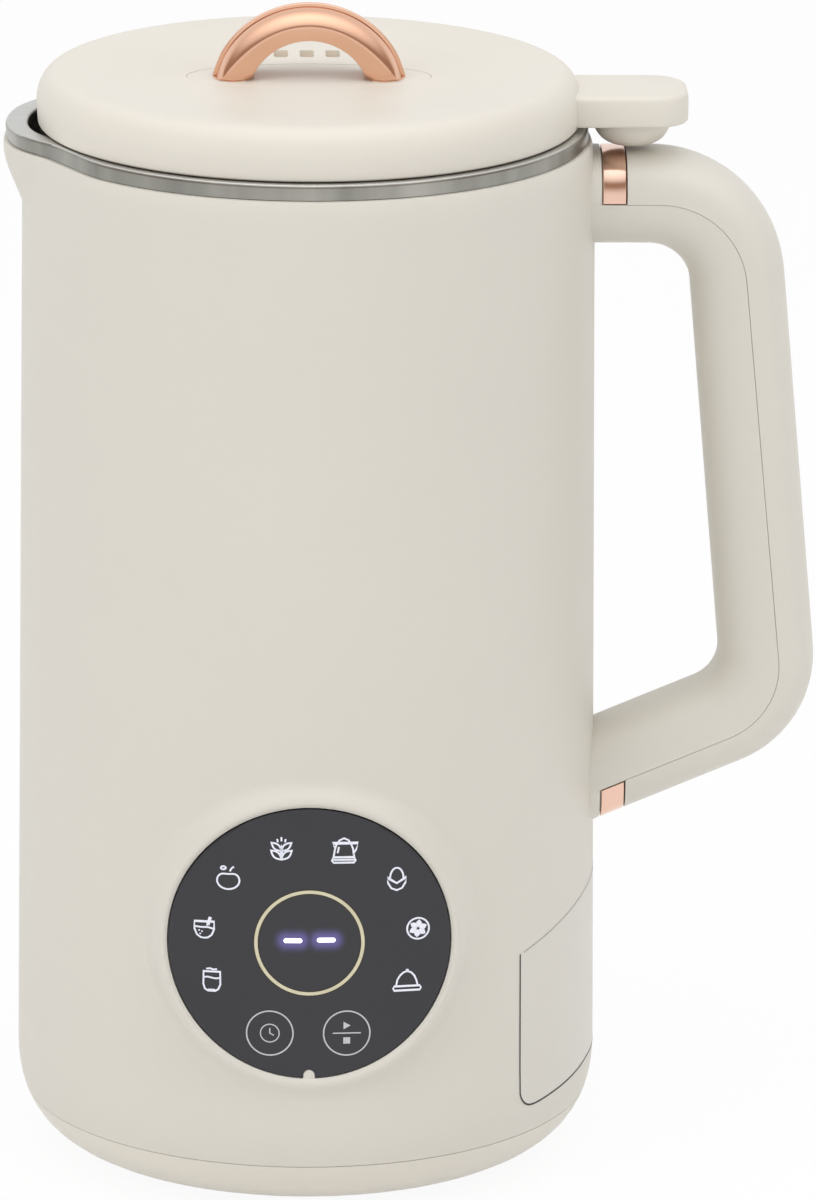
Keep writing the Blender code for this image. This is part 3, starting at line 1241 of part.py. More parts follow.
def make_lid_liner(lid):
    """Liner that closes the cup, with the silicone seal in its groove."""
    flange = LID_RADIUS - LID_FOOT_INSET - LID_WALL - GAP
    low = RIM_TOP_Z - LINER_DEPTH
    seal_low = low + SEAL_LOW
    seal_high = seal_low + SEAL_HEIGHT
    groove = LINER_RADIUS - SEAL_GROOVE
    flange_low = LID_Z + GAP
    profile = [(0.0, low), (LINER_RADIUS - LINER_WALL, low), (LINER_RADIUS, low + LINER_WALL),
               (LINER_RADIUS, seal_low), (groove, seal_low), (groove, seal_high), (LINER_RADIUS, seal_high),
               (LINER_RADIUS, flange_low), (flange, flange_low), (flange, flange_low + LINER_FLANGE),
               (groove - LINER_WALL, flange_low + LINER_FLANGE), (groove - LINER_WALL, low + LINER_WALL),
               (0.0, low + LINER_WALL)]
    turned_piece("lid_liner", profile, "silicone", lid, LINER_ROUND, closed=False)
    middle = (seal_low + seal_high) / 2
    reach = cup_wall(middle) * math.cos(FACET_HALF_ANGLE) - GAP
    seal = [(groove + GAP, seal_low + GAP), (LINER_RADIUS, seal_low + GAP), (reach, middle),
            (LINER_RADIUS, seal_high - GAP), (groove + GAP, seal_high - GAP)]
    turned_piece("lid_seal", seal, "silicone", lid, PANEL_STEPS)


def make_magnet_cap(lid):
    """Dome under the arm that holds the interlock magnet over the handle's reed switch."""
    top = ARM_Z - GAP
    low = HANDLE_TOP + MAGNET_CAP_REST
    foot = MAGNET_CAP_RADIUS * MAGNET_CAP_FOOT_SHARE
    height = top - low
    profile = [(0.0, low), (foot, low)]
    for step in range(1, DOME_STEPS + 1):
        turn = math.pi / 2 * step / DOME_STEPS
        profile.append((foot + (MAGNET_CAP_RADIUS - foot) * math.sin(turn), top - height * math.cos(turn)))
    pocket = MAGNET_RADIUS + GAP
    floor = top - MAGNET_HEIGHT - GAP
    profile += [(pocket, top), (pocket, floor), (0.0, floor)]
    place = (MAGNET_CAP_PLACE, 0.0, 0.0)
    turned_piece("magnet_cap", profile, "lid_cream", lid, WIDE_ROUND, closed=False, place=place)
    turned_piece("lid_magnet", disc_profile(MAGNET_RADIUS, floor + GAP, top), "iron", lid, SMALL_ROUND,
                 closed=False, place=place)


def make_reed_switch(jug):
    """Reed switch under the top of the handle, next to the magnet."""
    top = HANDLE_TOP - HANDLE_WALL - REED_DROP
    start = BODY_RADIUS + TRIM_STANDOFF + TRIM_WIDTH + REED_SETBACK
    box_piece("reed_switch", (start, -REED_LENGTH / 2, top - REED_HEIGHT),
              (start + REED_WIDTH, REED_LENGTH / 2, top), "black", jug, edge=REED_EDGE)


# Rotor: shaft, fan, commutator, armature and blades

def make_rotor(rotor):
    """Everything that turns on the shaft."""
    lower_z = CUP_FLOOR_Z + SEAL_FLANGE + SEAL_NOSE + 2 * GAP
    upper_z = lower_z + BLADE_THICKNESS + BLADE_SPACER
    nut_z = upper_z + BLADE_THICKNESS + GAP
    shaft_top = nut_z + NUT_HEIGHT - 2 * GAP
    turned_piece("motor_shaft", disc_profile(SHAFT_RADIUS, SHAFT_LOW, shaft_top), "steel", rotor, ROUND, closed=False)
    make_fan(rotor)
    make_commutator(rotor)
    make_armature(rotor)
    make_blade("blade_lower", rotor, lower_z, -BLADE_FALL, 0.0)
    make_blade("blade_upper", rotor, upper_z, BLADE_RISE, 0.5)
    bore = (SHAFT_RADIUS + GAP) / math.cos(math.pi / NUT_SIDES)
    inside = nut_z + NUT_HEIGHT - GAP
    nut_top = nut_z + NUT_HEIGHT
    profile = [(bore, nut_z), (NUT_RADIUS, nut_z), (NUT_RADIUS, nut_top),
               (NUT_RADIUS * NUT_CHAMFER_SHARE, nut_top + NUT_DOME * NUT_CHAMFER_SHARE), (0.0, nut_top + NUT_DOME),
               (0.0, inside), (bore, inside)]
    turned_piece("blade_nut", profile, "steel", rotor, NUT_SIDES)


def make_fan(rotor):
    """Cooling fan: a disc on a hub with curved blades hanging from it."""
    top = FAN_TOP_Z
    bore = SHAFT_RADIUS + GAP
    profile = [(bore, FAN_LOW), (FAN_HUB_RADIUS, FAN_LOW), (FAN_HUB_RADIUS, top - FAN_DISC),
               (FAN_RADIUS, top - FAN_DISC), (FAN_RADIUS, top), (bore, top)]
    fan = turned_piece("cooling_fan", profile, "black", rotor, MOTOR_ROUND)
    blades = bmesh.new()
    start = FAN_RADIUS * FAN_BLADE_INNER_SHARE
    for turn in around(FAN_BLADES):
        front = []
        back = []
        for share in FAN_BLADE_SHARES:
            radius = start + (FAN_RADIUS * FAN_BLADE_REACH_SHARE - start) * share
            swing = turn + FAN_SWEEP * share ** FAN_SWEEP_POWER
            half = FAN_BLADE_WALL / 2 / radius
            front.append((radius * math.cos(swing + half), radius * math.sin(swing + half)))
            back.append((radius * math.cos(swing - half), radius * math.sin(swing - half)))
        prism(blades, front + back[::-1], FAN_LOW, top - FAN_DISC / 2)
    join(fan, finish("fan_blades", blades, None, rotor))
    return fan


def make_commutator(rotor):
    """Copper commutator with a slot between its bars."""
    low = COMMUTATOR_Z
    profile = sleeve_profile(SHAFT_RADIUS + GAP, COMMUTATOR_RADIUS, low, low + COMMUTATOR_HEIGHT)
    piece = turned_piece("commutator", profile, "copper", rotor, 2 * COMMUTATOR_BARS)
    tools = bmesh.new()
    for turn in around(COMMUTATOR_BARS, 0.25):
        box_into(tools, (COMMUTATOR_RADIUS - COMMUTATOR_SLOT_DEPTH, -COMMUTATOR_SLOT / 2, low - OVERRUN),
                 (COMMUTATOR_RADIUS + OVERRUN, COMMUTATOR_SLOT / 2, low + COMMUTATOR_HEIGHT + OVERRUN), turn)
    cut(piece, finish("commutator_slots", tools, None, rotor))
    return piece


def make_armature(rotor):
    """Slotted armature stack with its windings standing out at both ends."""
    outline = []
    pitch = math.tau / ARMATURE_TEETH
    open_turn = pitch * ARMATURE_SLOT_SHARE
    core = ARMATURE_RADIUS * ARMATURE_CORE_SHARE
    for turn in around(ARMATURE_TEETH):
        start = turn - (pitch - open_turn) / 2
        end = turn + (pitch - open_turn) / 2
        outline += arc_points(0, 0, ARMATURE_RADIUS, start, end, 2)
        outline += arc_points(0, 0, core, end, end + open_turn, 1)
    mesh = prism(bmesh.new(), outline, STATOR_Z, STATOR_TOP_Z)
    stack = finish("armature", mesh, "iron", rotor)
    low = STATOR_Z - WINDING_OVERHANG
    high = STATOR_TOP_Z + WINDING_OVERHANG
    edge = WINDING_OVERHANG / 3
    profile = [(0.0, low), (WINDING_RADIUS - edge, low), (WINDING_RADIUS, low + edge),
               (WINDING_RADIUS, high - edge), (WINDING_RADIUS - edge, high), (0.0, high)]
    windings = turned(bmesh.new(), profile, WIDE_ROUND, closed=False)
    join(stack, finish("armature_windings", windings, None, rotor))
    cut(stack, rod_tool("armature_bore", SHAFT_RADIUS + GAP, (0, 0, low - OVERRUN), (0, 0, high + OVERRUN), rotor, ROUND))
    return stack


def make_blade(name, rotor, height, bend, turn_share):
    """Four-armed cutter stamped from sheet, its arms bent up or down towards their tips."""
    mesh = bmesh.new()
    bore = SHAFT_RADIUS + GAP
    per_arm = ROUND // BLADE_ARMS
    ring = around(ROUND, turn_share * per_arm - 0.5)
    holes = [mesh.verts.new((bore * math.cos(turn), bore * math.sin(turn), 0)) for turn in ring]
    edges = [mesh.verts.new((BLADE_HUB_RADIUS * math.cos(turn), BLADE_HUB_RADIUS * math.sin(turn), 0)) for turn in ring]
    for index in range(len(ring)):
        beside = (index + 1) % len(ring)
        mesh.faces.new((holes[index], edges[index], edges[beside], holes[beside]))
    for arm in range(BLADE_ARMS):
        first = edges[arm * per_arm]
        second = edges[arm * per_arm + 1]
        aim = (first.co + second.co).normalized()
        side = Vector((-aim.y, aim.x, 0))
        row = (first, second)
        for share in BLADE_SHARES:
            reach = BLADE_HUB_RADIUS + (BLADE_REACH - BLADE_HUB_RADIUS) * share
            width = BLADE_ROOT_WIDTH + (BLADE_TIP_WIDTH - BLADE_ROOT_WIDTH) * share
            rise = bend * (share - BLADE_SHARES[0]) / (1 - BLADE_SHARES[0])
            centre = aim * reach + Vector((0, 0, rise)) + side * (BLADE_ROOT_WIDTH - width) / 4
            after = (mesh.verts.new(centre - side * width / 2), mesh.verts.new(centre + side * width / 2))
            mesh.faces.new((row[0], after[0], after[1], row[1]))
            row = after
    bmesh.ops.translate(mesh, vec=(0, 0, height), verts=mesh.verts)
    blade = finish(name, mesh, "steel", rotor)
    plate = blade.modifiers.new("sheet", "SOLIDIFY")
    plate.thickness = BLADE_THICKNESS
    plate.offset = math.copysign(1, blade.data.polygons[0].normal.z)
    return blade


# Motor stator, brackets, bearings and brushes

def make_stator(jug):
    """Laminated stator with its bore, and windows that the field coils pass through."""
    stator = turned_piece("motor_stator", sleeve_profile(ARMATURE_RADIUS + AIR_GAP, STATOR_RADIUS,
                                                         STATOR_Z, STATOR_TOP_Z), "iron", jug, MOTOR_ROUND)
    tools = bmesh.new()
    inner = COIL_HALF_SPAN - COIL_BAND / 2
    outer = COIL_HALF_SPAN + COIL_BAND / 2
    for side_x in (-1, 1):
        xs = sorted((side_x * (COIL_PLACE - COIL_THICKNESS / 2), side_x * (COIL_PLACE + COIL_THICKNESS / 2)))
        for side_y in (-1, 1):
            ys = sorted((side_y * inner, side_y * outer))
            box_into(tools, (xs[0] - GAP, ys[0] - GAP, STATOR_Z - OVERRUN),
                     (xs[1] + GAP, ys[1] + GAP, STATOR_TOP_Z + OVERRUN))
    cut(stator, finish("coil_windows", tools, None, jug))
    for side, label in ((-1, "left"), (1, "right")):
        make_field_coil(label, side, inner, outer, jug)


def make_field_coil(label, side, inner, outer, jug):
    """Flat wound coil that loops through two windows of the stator."""
    low = STATOR_Z - COIL_OVERHANG
    high = STATOR_TOP_Z + COIL_OVERHANG
    mesh = bmesh.new()
    middle = (low + high) / 2
    rings = []
    inside = COIL_INNER_CORNER
    shapes = ((outer, high - middle, COIL_BAND), (inner, STATOR_HEIGHT / 2 + GAP + inside, inside))
    for half, reach, round_off in shapes:
        ring = []
        for index, (sign_y, sign_z) in enumerate(((1, 1), (-1, 1), (-1, -1), (1, -1))):
            centre = (sign_y * (half - round_off), sign_z * (reach - round_off))
            ring += arc_points(*centre, round_off, math.pi / 2 * index, math.pi / 2 * (index + 1),
                               COIL_CORNER_STEPS)
        rings.append(ring)
    faces = (COIL_PLACE - COIL_THICKNESS / 2, COIL_PLACE + COIL_THICKNESS / 2)
    loops = [(rings[0], faces[0]), (rings[0], faces[1]), (rings[1], faces[1]), (rings[1], faces[0])]
    loft(mesh, [[(side * x, y, middle + z) for y, z in ring] for ring, x in loops], closed=True)
    finish(f"field_coil_{label}", mesh, "copper", jug)


def make_bracket(name, jug, low, seat_low, seat_high, leg_low, leg_high):
    """Motor end bracket: a plate with a bearing seat and two legs to the stator."""
    seat = BEARING_RADIUS + GAP
    wall = seat + BEARING_SEAT_WALL
    top = low + BRACKET_PLATE
    profile = [(seat, seat_low), (wall, seat_low)]
    if seat_low < low:
        profile.append((wall, low))
    profile += [(BRACKET_RADIUS, low), (BRACKET_RADIUS, top)]
    if seat_high > top:
        profile.append((wall, top))
    profile += [(wall, seat_high), (seat, seat_high)]
    if seat_low >= low:
        profile.pop(1)
    if seat_high <= top:
        profile.pop(-2)
    bracket = turned_piece(name, profile, "aluminium", jug)
    legs = bmesh.new()
    for side in (-1, 1):
        ys = sorted((side * (BRACKET_RADIUS - BRACKET_LEG_DEPTH), side * (BRACKET_RADIUS - BRACKET_PLATE / 4)))
        box_into(legs, (-BRACKET_LEG_WIDTH / 2, ys[0], leg_low), (BRACKET_LEG_WIDTH / 2, ys[1], leg_high))
    join(bracket, finish(f"{name}_legs", legs, None, jug))
    return bracket


def make_motor_frame(jug):
    """Brackets, bearings and brush gear round the rotor."""
    make_bracket("lower_motor_bracket", jug, LOWER_BRACKET_Z, LOWER_BEARING_Z, LOWER_BRACKET_Z + BRACKET_PLATE,
                 LOWER_BRACKET_Z + BRACKET_PLATE / 2, STATOR_Z - GAP)
    upper_low = UPPER_BRACKET_Z
    make_bracket("upper_motor_bracket", jug, upper_low, upper_low + BRACKET_PLATE - BEARING_HEIGHT,
                 upper_low + BRACKET_PLATE, STATOR_TOP_Z + GAP, upper_low + BRACKET_PLATE / 2)
    bore = SHAFT_RADIUS + GAP
    for label, low in (("lower", LOWER_BEARING_Z), ("upper", upper_low + BRACKET_PLATE - BEARING_HEIGHT)):
        turned_piece(f"{label}_bearing", sleeve_profile(bore, BEARING_RADIUS, low, low + BEARING_HEIGHT),
                     "steel", jug, ROUND)
    for side, label in ((-1, "front"), (1, "rear")):
        make_brush(label, side, jug)


def make_brush(label, side, jug):
    """Brass holder on the lower bracket with the carbon brush in it."""
    low = LOWER_BRACKET_Z + BRACKET_PLATE + GAP
    wall = BRUSH_HOLDER_WALL
    half = BRUSH_WIDTH / 2
    start = BRUSH_HOLDER_START
    ys = sorted((side * start, side * (start + BRUSH_HOLDER_LENGTH)))
    outer_low = (-half - GAP - wall, ys[0], low)
    outer_high = (half + GAP + wall, ys[1], low + BRUSH_HEIGHT + 2 * wall + 2 * GAP)
    holder = box_piece(f"brush_holder_{label}", outer_low, outer_high, "brass", jug)
    tools = bmesh.new()
    box_into(tools, (-half - GAP, ys[0] - OVERRUN, low + wall),
             (half + GAP, ys[1] + OVERRUN, low + wall + BRUSH_HEIGHT + 2 * GAP))
    cut(holder, finish(f"brush_bore_{label}", tools, None, jug))
    touch = COMMUTATOR_RADIUS + GAP
    ys = sorted((side * touch, side * (touch + BRUSH_LENGTH)))
    box_piece(f"carbon_brush_{label}", (-half, ys[0], low + wall + GAP),
              (half, ys[1], low + wall + GAP + BRUSH_HEIGHT), "black", jug)


def make_chassis(jug):
    """Plate that carries the motor, with a ring wall under the cup and four posts to the base."""
    top = CHASSIS_Z + CHASSIS_PLATE
    wall_top = CUP_BASE_Z - GAP
    outer = CHASSIS_WALL_RADIUS + CHASSIS_WALL
    profile = [(CHASSIS_HUB_RADIUS, CHASSIS_Z), (CHASSIS_RADIUS, CHASSIS_Z), (CHASSIS_RADIUS, top), (outer, top),
               (outer, wall_top), (CHASSIS_WALL_RADIUS, wall_top), (CHASSIS_WALL_RADIUS, top),
               (CHASSIS_HUB_RADIUS, top)]
    chassis = turned_piece("chassis", profile, "beige", jug, MOTOR_ROUND)
    posts = bmesh.new()
    holes = bmesh.new()
    low = BASE_Z + DRIVE_DEPTH + SCREW_HEAD_HEIGHT + BASE_WALL + 2 * GAP
    for turn in around(SCREW_COUNT, 0.5):
        x = SCREW_CIRCLE * math.cos(turn)
        y = SCREW_CIRCLE * math.sin(turn)
        rod_into(posts, POST_RADIUS, (x, y, low), (x, y, CHASSIS_Z + CHASSIS_PLATE / 2), TINY_ROUND)
        rod_into(holes, SCREW_SHANK_RADIUS + GAP, (x, y, low - OVERRUN),
                 (x, y, BASE_Z + DRIVE_DEPTH + SCREW_LENGTH + SCREW_SHANK_RADIUS), TINY_ROUND)
    join(chassis, finish("chassis_posts", posts, None, jug))
    cut(chassis, finish("chassis_pilot_holes", holes, None, jug))
    return chassis


# Heater, thermostat and shaft seal

def make_heater(jug):
    """Heating tube bent into an open ring under the cup, the thermostat inside it and the shaft seal."""
    height = CUP_BASE_Z - GAP - HEATER_TUBE
    mesh = bmesh.new()
    upright = Matrix.Translation((HEATER_CIRCLE, 0, 0)) @ Matrix.Rotation(math.pi / 2, 4, "X")
    bmesh.ops.create_circle(mesh, cap_ends=True, radius=HEATER_TUBE, segments=TINY_ROUND, matrix=upright)
    start = -HEATER_SWEEP / 2 - math.pi / 2
    bmesh.ops.rotate(mesh, cent=(0, 0, 0), matrix=Matrix.Rotation(start, 3, "Z"), verts=mesh.verts)
    bmesh.ops.spin(mesh, geom=mesh.faces[:], cent=(0, 0, 0), axis=(0, 0, 1), angle=HEATER_SWEEP,
                   steps=LARGE_ROUND)
    finish("heating_element", mesh, "steel", jug, (0.0, 0.0, height))
    top = CUP_BASE_Z - GAP
    turned_piece("thermostat", disc_profile(THERMOSTAT_RADIUS, top - THERMOSTAT_HEIGHT, top), "aluminium", jug, ROUND,
                 closed=False, place=(0.0, THERMOSTAT_PLACE, 0.0))
    make_shaft_seal(jug)


def make_shaft_seal(jug):
    """Seal bush in the cup's floor, with its flange inside and its tail below."""
    bore = SHAFT_RADIUS + GAP
    flange_low = CUP_FLOOR_Z + GAP
    flange_top = flange_low + SEAL_FLANGE
    profile = [(bore, CUP_BASE_Z - SEAL_TAIL), (SEAL_BUSH_RADIUS, CUP_BASE_Z - SEAL_TAIL),
               (SEAL_BUSH_RADIUS, flange_low), (SEAL_FLANGE_RADIUS, flange_low), (SEAL_FLANGE_RADIUS, flange_top),
               (SEAL_NOSE_RADIUS, flange_top), (SEAL_NOSE_RADIUS, flange_top + SEAL_NOSE),
               (bore, flange_top + SEAL_NOSE)]
    turned_piece("shaft_seal", profile, "silicone", jug, WIDE_ROUND)


# Power board and inlet

def make_power_parts(jug):
    """Upright power board in the base's ribs, its transformer, and the mains inlet at the back."""
    front = -POWER_BOARD_PLACE + BOARD_THICKNESS / 2
    box_piece("power_board", (front - BOARD_THICKNESS, -POWER_BOARD_WIDTH / 2, POWER_BOARD_LOW),
              (front, POWER_BOARD_WIDTH / 2, POWER_BOARD_LOW + POWER_BOARD_HEIGHT), "board_green", jug)
    low = POWER_BOARD_LOW + TRANSFORMER_LIFT
    box_piece("power_transformer", (front + GAP, -TRANSFORMER_WIDTH / 2, low),
              (front + GAP + TRANSFORMER_DEPTH, TRANSFORMER_WIDTH / 2, low + TRANSFORMER_HEIGHT), "black", jug,
              edge=BLOCK_EDGE)
    make_inlet(jug)


def inlet_outline(half_width, half_height, chamfer):
    """Mains inlet outline: a rectangle whose two upper corners are cut off."""
    return [(-half_width, -half_height), (half_width, -half_height), (half_width, half_height - chamfer),
            (half_width - chamfer, half_height), (chamfer - half_width, half_height),
            (-half_width, half_height - chamfer)]


def make_inlet(jug):
    """Three-pin mains inlet, low on the back of the housing."""
    mouth = math.sqrt(body_radius(INLET_HEIGHT) ** 2 - (INLET_WIDTH / 2) ** 2)
    back = mouth - INLET_DEPTH
    half_x = INLET_WIDTH / 2
    half_z = INLET_TALL / 2
    housing = box_piece("inlet_socket", (-half_x, back, INLET_HEIGHT - half_z), (half_x, mouth, INLET_HEIGHT + half_z),
                        "black", jug)
    margin = INLET_FLANGE_MARGIN
    reach = math.sqrt((body_radius(INLET_HEIGHT - half_z) - BODY_WALL) ** 2 - (half_x + margin) ** 2) - 4 * GAP
    flange = bmesh.new()
    box_into(flange, (-half_x - margin, reach - INLET_FLANGE, INLET_HEIGHT - half_z - margin),
             (half_x + margin, reach, INLET_HEIGHT + half_z + margin))
    join(housing, finish("inlet_flange", flange, None, jug))
    hollow = upright_prism(inlet_outline(half_x - INLET_WALL, half_z - INLET_WALL, INLET_CHAMFER),
                           back + INLET_BACK, mouth + OVERRUN)
    bmesh.ops.translate(hollow, vec=(0, 0, INLET_HEIGHT), verts=hollow.verts)
    cut(housing, finish("inlet_hollow", hollow, None, jug))
    pins = (("live", -INLET_PIN_SPREAD, -INLET_PIN_RISE), ("neutral", INLET_PIN_SPREAD, -INLET_PIN_RISE),
            ("earth", 0.0, INLET_PIN_RISE))
    slots = bmesh.new()
    half = (INLET_PIN_WIDTH / 2, INLET_PIN_TALL / 2)
    for label, x, rise in pins:
        z = INLET_HEIGHT + rise
        box_into(slots, (x - half[0] - GAP, back - OVERRUN, z - half[1] - GAP),
                 (x + half[0] + GAP, back + INLET_BACK + OVERRUN, z + half[1] + GAP))
        box_piece(f"inlet_pin_{label}", (x - half[0], back - INLET_PIN_TAIL, z - half[1]),
                  (x + half[0], mouth - INLET_PIN_SHORT, z + half[1]), "brass", jug, edge=INLET_PIN_EDGE)
    cut(housing, finish("inlet_pin_slots", slots, None, jug))
    return housing


def build():
    """Make every piece of the soy milk maker."""
    clear_scene()
    axis_x = (SPOUT_TIP - handle_reach()) / 2
    jug = empty("jug_axis", (axis_x, 0.0, 0.0))
    rotor = empty("rotor_axis", (axis_x, 0.0, 0.0))
    lid = empty("lid_seat", (axis_x, 0.0, 0.0))
    make_base_cover(jug)
    make_feet(jug)
    make_base_screws(jug)
    make_outer_shell(jug)
    make_steel_cup(jug)
    make_panel(jug)
    make_handle(jug)
    make_reed_switch(jug)
    make_chassis(jug)
    make_stator(jug)
    make_motor_frame(jug)
    make_heater(jug)
    make_power_parts(jug)
    make_rotor(rotor)
    make_lid_cover(lid)
    make_lid_fittings(lid)
    make_lid_liner(lid)
    make_magnet_cap(lid)
    bpy.context.view_layer.update()
    print("axis of the jug at x =", round(axis_x, 6))


def handle_reach():
    """The furthest point of the handle from the jug's axis."""
    return max(station.x for station in handle_rails()[0])


build()
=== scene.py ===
# %% [markdown]
# # A soy milk maker, dressed for a studio photograph
# The real object is a tall cream jug: a painted plastic housing round a steel cup, a round touch panel
# low on the front, a closed handle and a lift-off lid with a polished arch on it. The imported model
# brings every part at its right place. This lesson gives those parts their finish, and builds smoother
# skins for the pieces that the eye sees first.

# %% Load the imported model
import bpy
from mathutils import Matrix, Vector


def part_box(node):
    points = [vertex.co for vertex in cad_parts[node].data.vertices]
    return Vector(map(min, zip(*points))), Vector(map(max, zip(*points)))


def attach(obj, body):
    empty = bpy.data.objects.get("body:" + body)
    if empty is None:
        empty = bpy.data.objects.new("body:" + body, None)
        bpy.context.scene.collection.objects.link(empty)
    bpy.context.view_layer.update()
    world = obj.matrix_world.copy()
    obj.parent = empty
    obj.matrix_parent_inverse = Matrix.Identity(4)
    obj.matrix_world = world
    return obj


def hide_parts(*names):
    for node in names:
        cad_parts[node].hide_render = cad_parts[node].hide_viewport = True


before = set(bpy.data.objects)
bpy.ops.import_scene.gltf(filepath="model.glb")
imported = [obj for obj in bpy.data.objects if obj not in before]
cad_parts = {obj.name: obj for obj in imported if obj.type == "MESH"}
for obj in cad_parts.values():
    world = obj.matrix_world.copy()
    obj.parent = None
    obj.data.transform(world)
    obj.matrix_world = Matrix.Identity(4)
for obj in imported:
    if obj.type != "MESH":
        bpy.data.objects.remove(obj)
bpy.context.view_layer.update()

# %% [markdown]
# The jug is almost a turned body, so most shapes are easy to say as a distance from its axis and a
# height. All lengths below are in millimetres from that axis, and one helper turns them into the
# frame's metres. The axis is read from the motor's shaft, which stands on it.

# %% Axis and units
import math

import bmesh
import bpy
from mathutils import Matrix, Vector

MM = 0.001
shaft_low, shaft_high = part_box("motor_shaft")
AXIS_X = (shaft_low.x + shaft_high.x) / 2
AXIS_Y = (shaft_low.y + shaft_high.y) / 2


def to_frame(point):
    """A point in millimetres from the jug's axis, as metres in the frame."""
    x, y, z = point
    return (AXIS_X + x * MM, AXIS_Y + y * MM, z * MM)


def held(share):
    """A share held between 0 and 1."""
    return min(1.0, max(0.0, share))


print(f"the axis stands at x {AXIS_X:.5f} y {AXIS_Y:.5f}")

# %% [markdown]
# The outer form. The foot is a rounded corner, the wall leans in a little, and just under the steel
# rim it turns in softly. A formula for the radius keeps every skin on the same surface.

# %% The jug's outer form
SEAM = 13.5
ROUND_TOP = 23.5
FOOT_RADIUS = 47.0
WALL_RADIUS = 66.6
RIM_LOW = 236.85
RIM_TOP = 240.3
SPOUT_START = 222.75
RIM_RADIUS = 63.0
MOUTH_RADIUS = 58.4
BODY_WALL = 2.5


def body_radius(height):
    """Outer radius of the housing at a height."""
    if height < ROUND_TOP:
        share = held((ROUND_TOP - height) / 22.0)
        return FOOT_RADIUS + (WALL_RADIUS - FOOT_RADIUS) * (1 - share ** 2.3) ** (1 / 2.3)
    radius = WALL_RADIUS - 2.1 * (height - ROUND_TOP) / (RIM_LOW - ROUND_TOP)
    return radius - 1.3 * (1 - math.sqrt(1 - held((height - RIM_LOW + 7.0) / 7.0) ** 2))


print("radius at the seam, belly and shoulder:", [round(body_radius(h), 2) for h in (SEAM, 60, RIM_LOW)])

# %% [markdown]
# The spout is drawn out of the round rim. Its plan form is a lobe that is strong at the tip and runs
# out softly on both sides, and it fades towards a point some way down the wall. Outside, the wall is
# also drawn in a little beside the lobe, as it is on a pressed steel lip.

# %% The spout's form
def spout_reach(angle, height, outside=True):
    """What the spout adds to a radius, at an angle round the axis and a height."""
    away = abs(math.remainder(angle - math.pi + math.radians(2.0), math.tau))
    share = held((height - SPOUT_START) / (RIM_TOP - SPOUT_START))
    depth, spread = (5.3, 23.0) if outside else (4.7, 21.0)
    lobe = 1 - (away / (math.radians(spread) * (0.55 + 0.45 * share))) ** 2.6
    reach = depth * (max(lobe, 0.0) + max(0.5 - abs(lobe), 0.0) ** 2 / 2)
    if outside:
        pinch = held(abs(away - math.radians(31.0)) / math.radians(15.0))
        reach -= 1.2 * math.cos(pinch * math.pi / 2) ** 2
    return reach * math.sin(share * math.pi / 2)


print("the tip stands out by", round(spout_reach(math.pi, RIM_TOP), 2), "mm")

# %% [markdown]
# Nearly every line on this object is an arc or an oval, so those two come first. A ring is such a line
# at a height, and a skin runs over a row of rings.

# %% Lines, rings and skins
COLUMNS = 240


def arc(x, y, radius_x, radius_y, start, end, steps):
    """Points of an elliptic arc in a plane, from one angle in degrees to another."""
    turns = [math.radians(start + (end - start) * step / steps) for step in range(steps + 1)]
    return [(x + radius_x * math.cos(turn), y + radius_y * math.sin(turn)) for turn in turns]


def oval(x, y, radius_x, radius_y, steps, start=0.0):
    """Points round an ellipse in a plane."""
    return arc(x, y, radius_x, radius_y, start, start + 360.0, steps)[:-1]


def level(line, height):
    """A plane line laid at a height."""
    return [(x, y, height) for x, y in line]


def round_ring(radius, height, columns=COLUMNS):
    """A plain round ring."""
    return level(oval(0.0, 0.0, radius, radius, columns, -90.0), height)


def jug_ring(radius, height, outside=True):
    """A ring of the jug with the spout's lobe in it."""
    ring = []
    for step in range(COLUMNS):
        angle = -math.pi / 2 + math.tau * step / COLUMNS
        reach = radius + spout_reach(angle, height, outside)
        ring.append((reach * math.cos(angle), reach * math.sin(angle), height))
    return ring


def skin(rings, closed=False):
    """Points and faces over rings of equal counts, joined end to end or capped at both ends."""
    count, rows = len(rings[0]), len(rings)
    faces = []
    for row in range(rows if closed else rows - 1):
        this, after = row * count, (row + 1) % rows * count
        for index in range(count):
            beside = (index + 1) % count
            faces.append((this + index, this + beside, after + beside, after + index))
    if not closed:
        faces += [tuple(range(count)), tuple(range((rows - 1) * count, rows * count))]
    return [point for ring in rings for point in ring], faces


def together(*lots):
    """Several lots of points and faces as one."""
    points, faces = [], []
    for more_points, more_faces in lots:
        start = len(points)
        points += more_points
        faces += [tuple(index + start for index in face) for face in more_faces]
    return points, faces


print("columns round the jug:", COLUMNS)

# %% [markdown]
# Three helpers make every piece. One turns points and faces into a shaded object. One seats the piece:
# it gets its finish, rides on its body and stands for its part of the imported model, which it hides. The
# third cuts with a Boolean modifier, or fuses, and applies it, so that the tool can go.

# %% Piece helpers
def shade(data, sharp):
    """Smooth shading with sharp edges above an angle."""
    data.shade_smooth()
    data.set_sharp_from_angle(angle=math.radians(sharp))


def build(name, lot, sharp=50.0, weld=0.002):
    """A smooth-shaded object from a lot in millimetres, with its faces turned outwards."""
    points, faces = lot
    mesh = bmesh.new()
    verts = [mesh.verts.new(to_frame(point)) for point in points]
    for face in faces:
        mesh.faces.new([verts[index] for index in face])
    bmesh.ops.remove_doubles(mesh, verts=mesh.verts, dist=weld * MM)
    bmesh.ops.recalc_face_normals(mesh, faces=mesh.faces)
    data = bpy.data.meshes.new(name)
    mesh.to_mesh(data)
    mesh.free()
    shade(data, sharp)
    made = bpy.data.objects.new(name, data)
    bpy.context.scene.collection.objects.link(made)
    return made


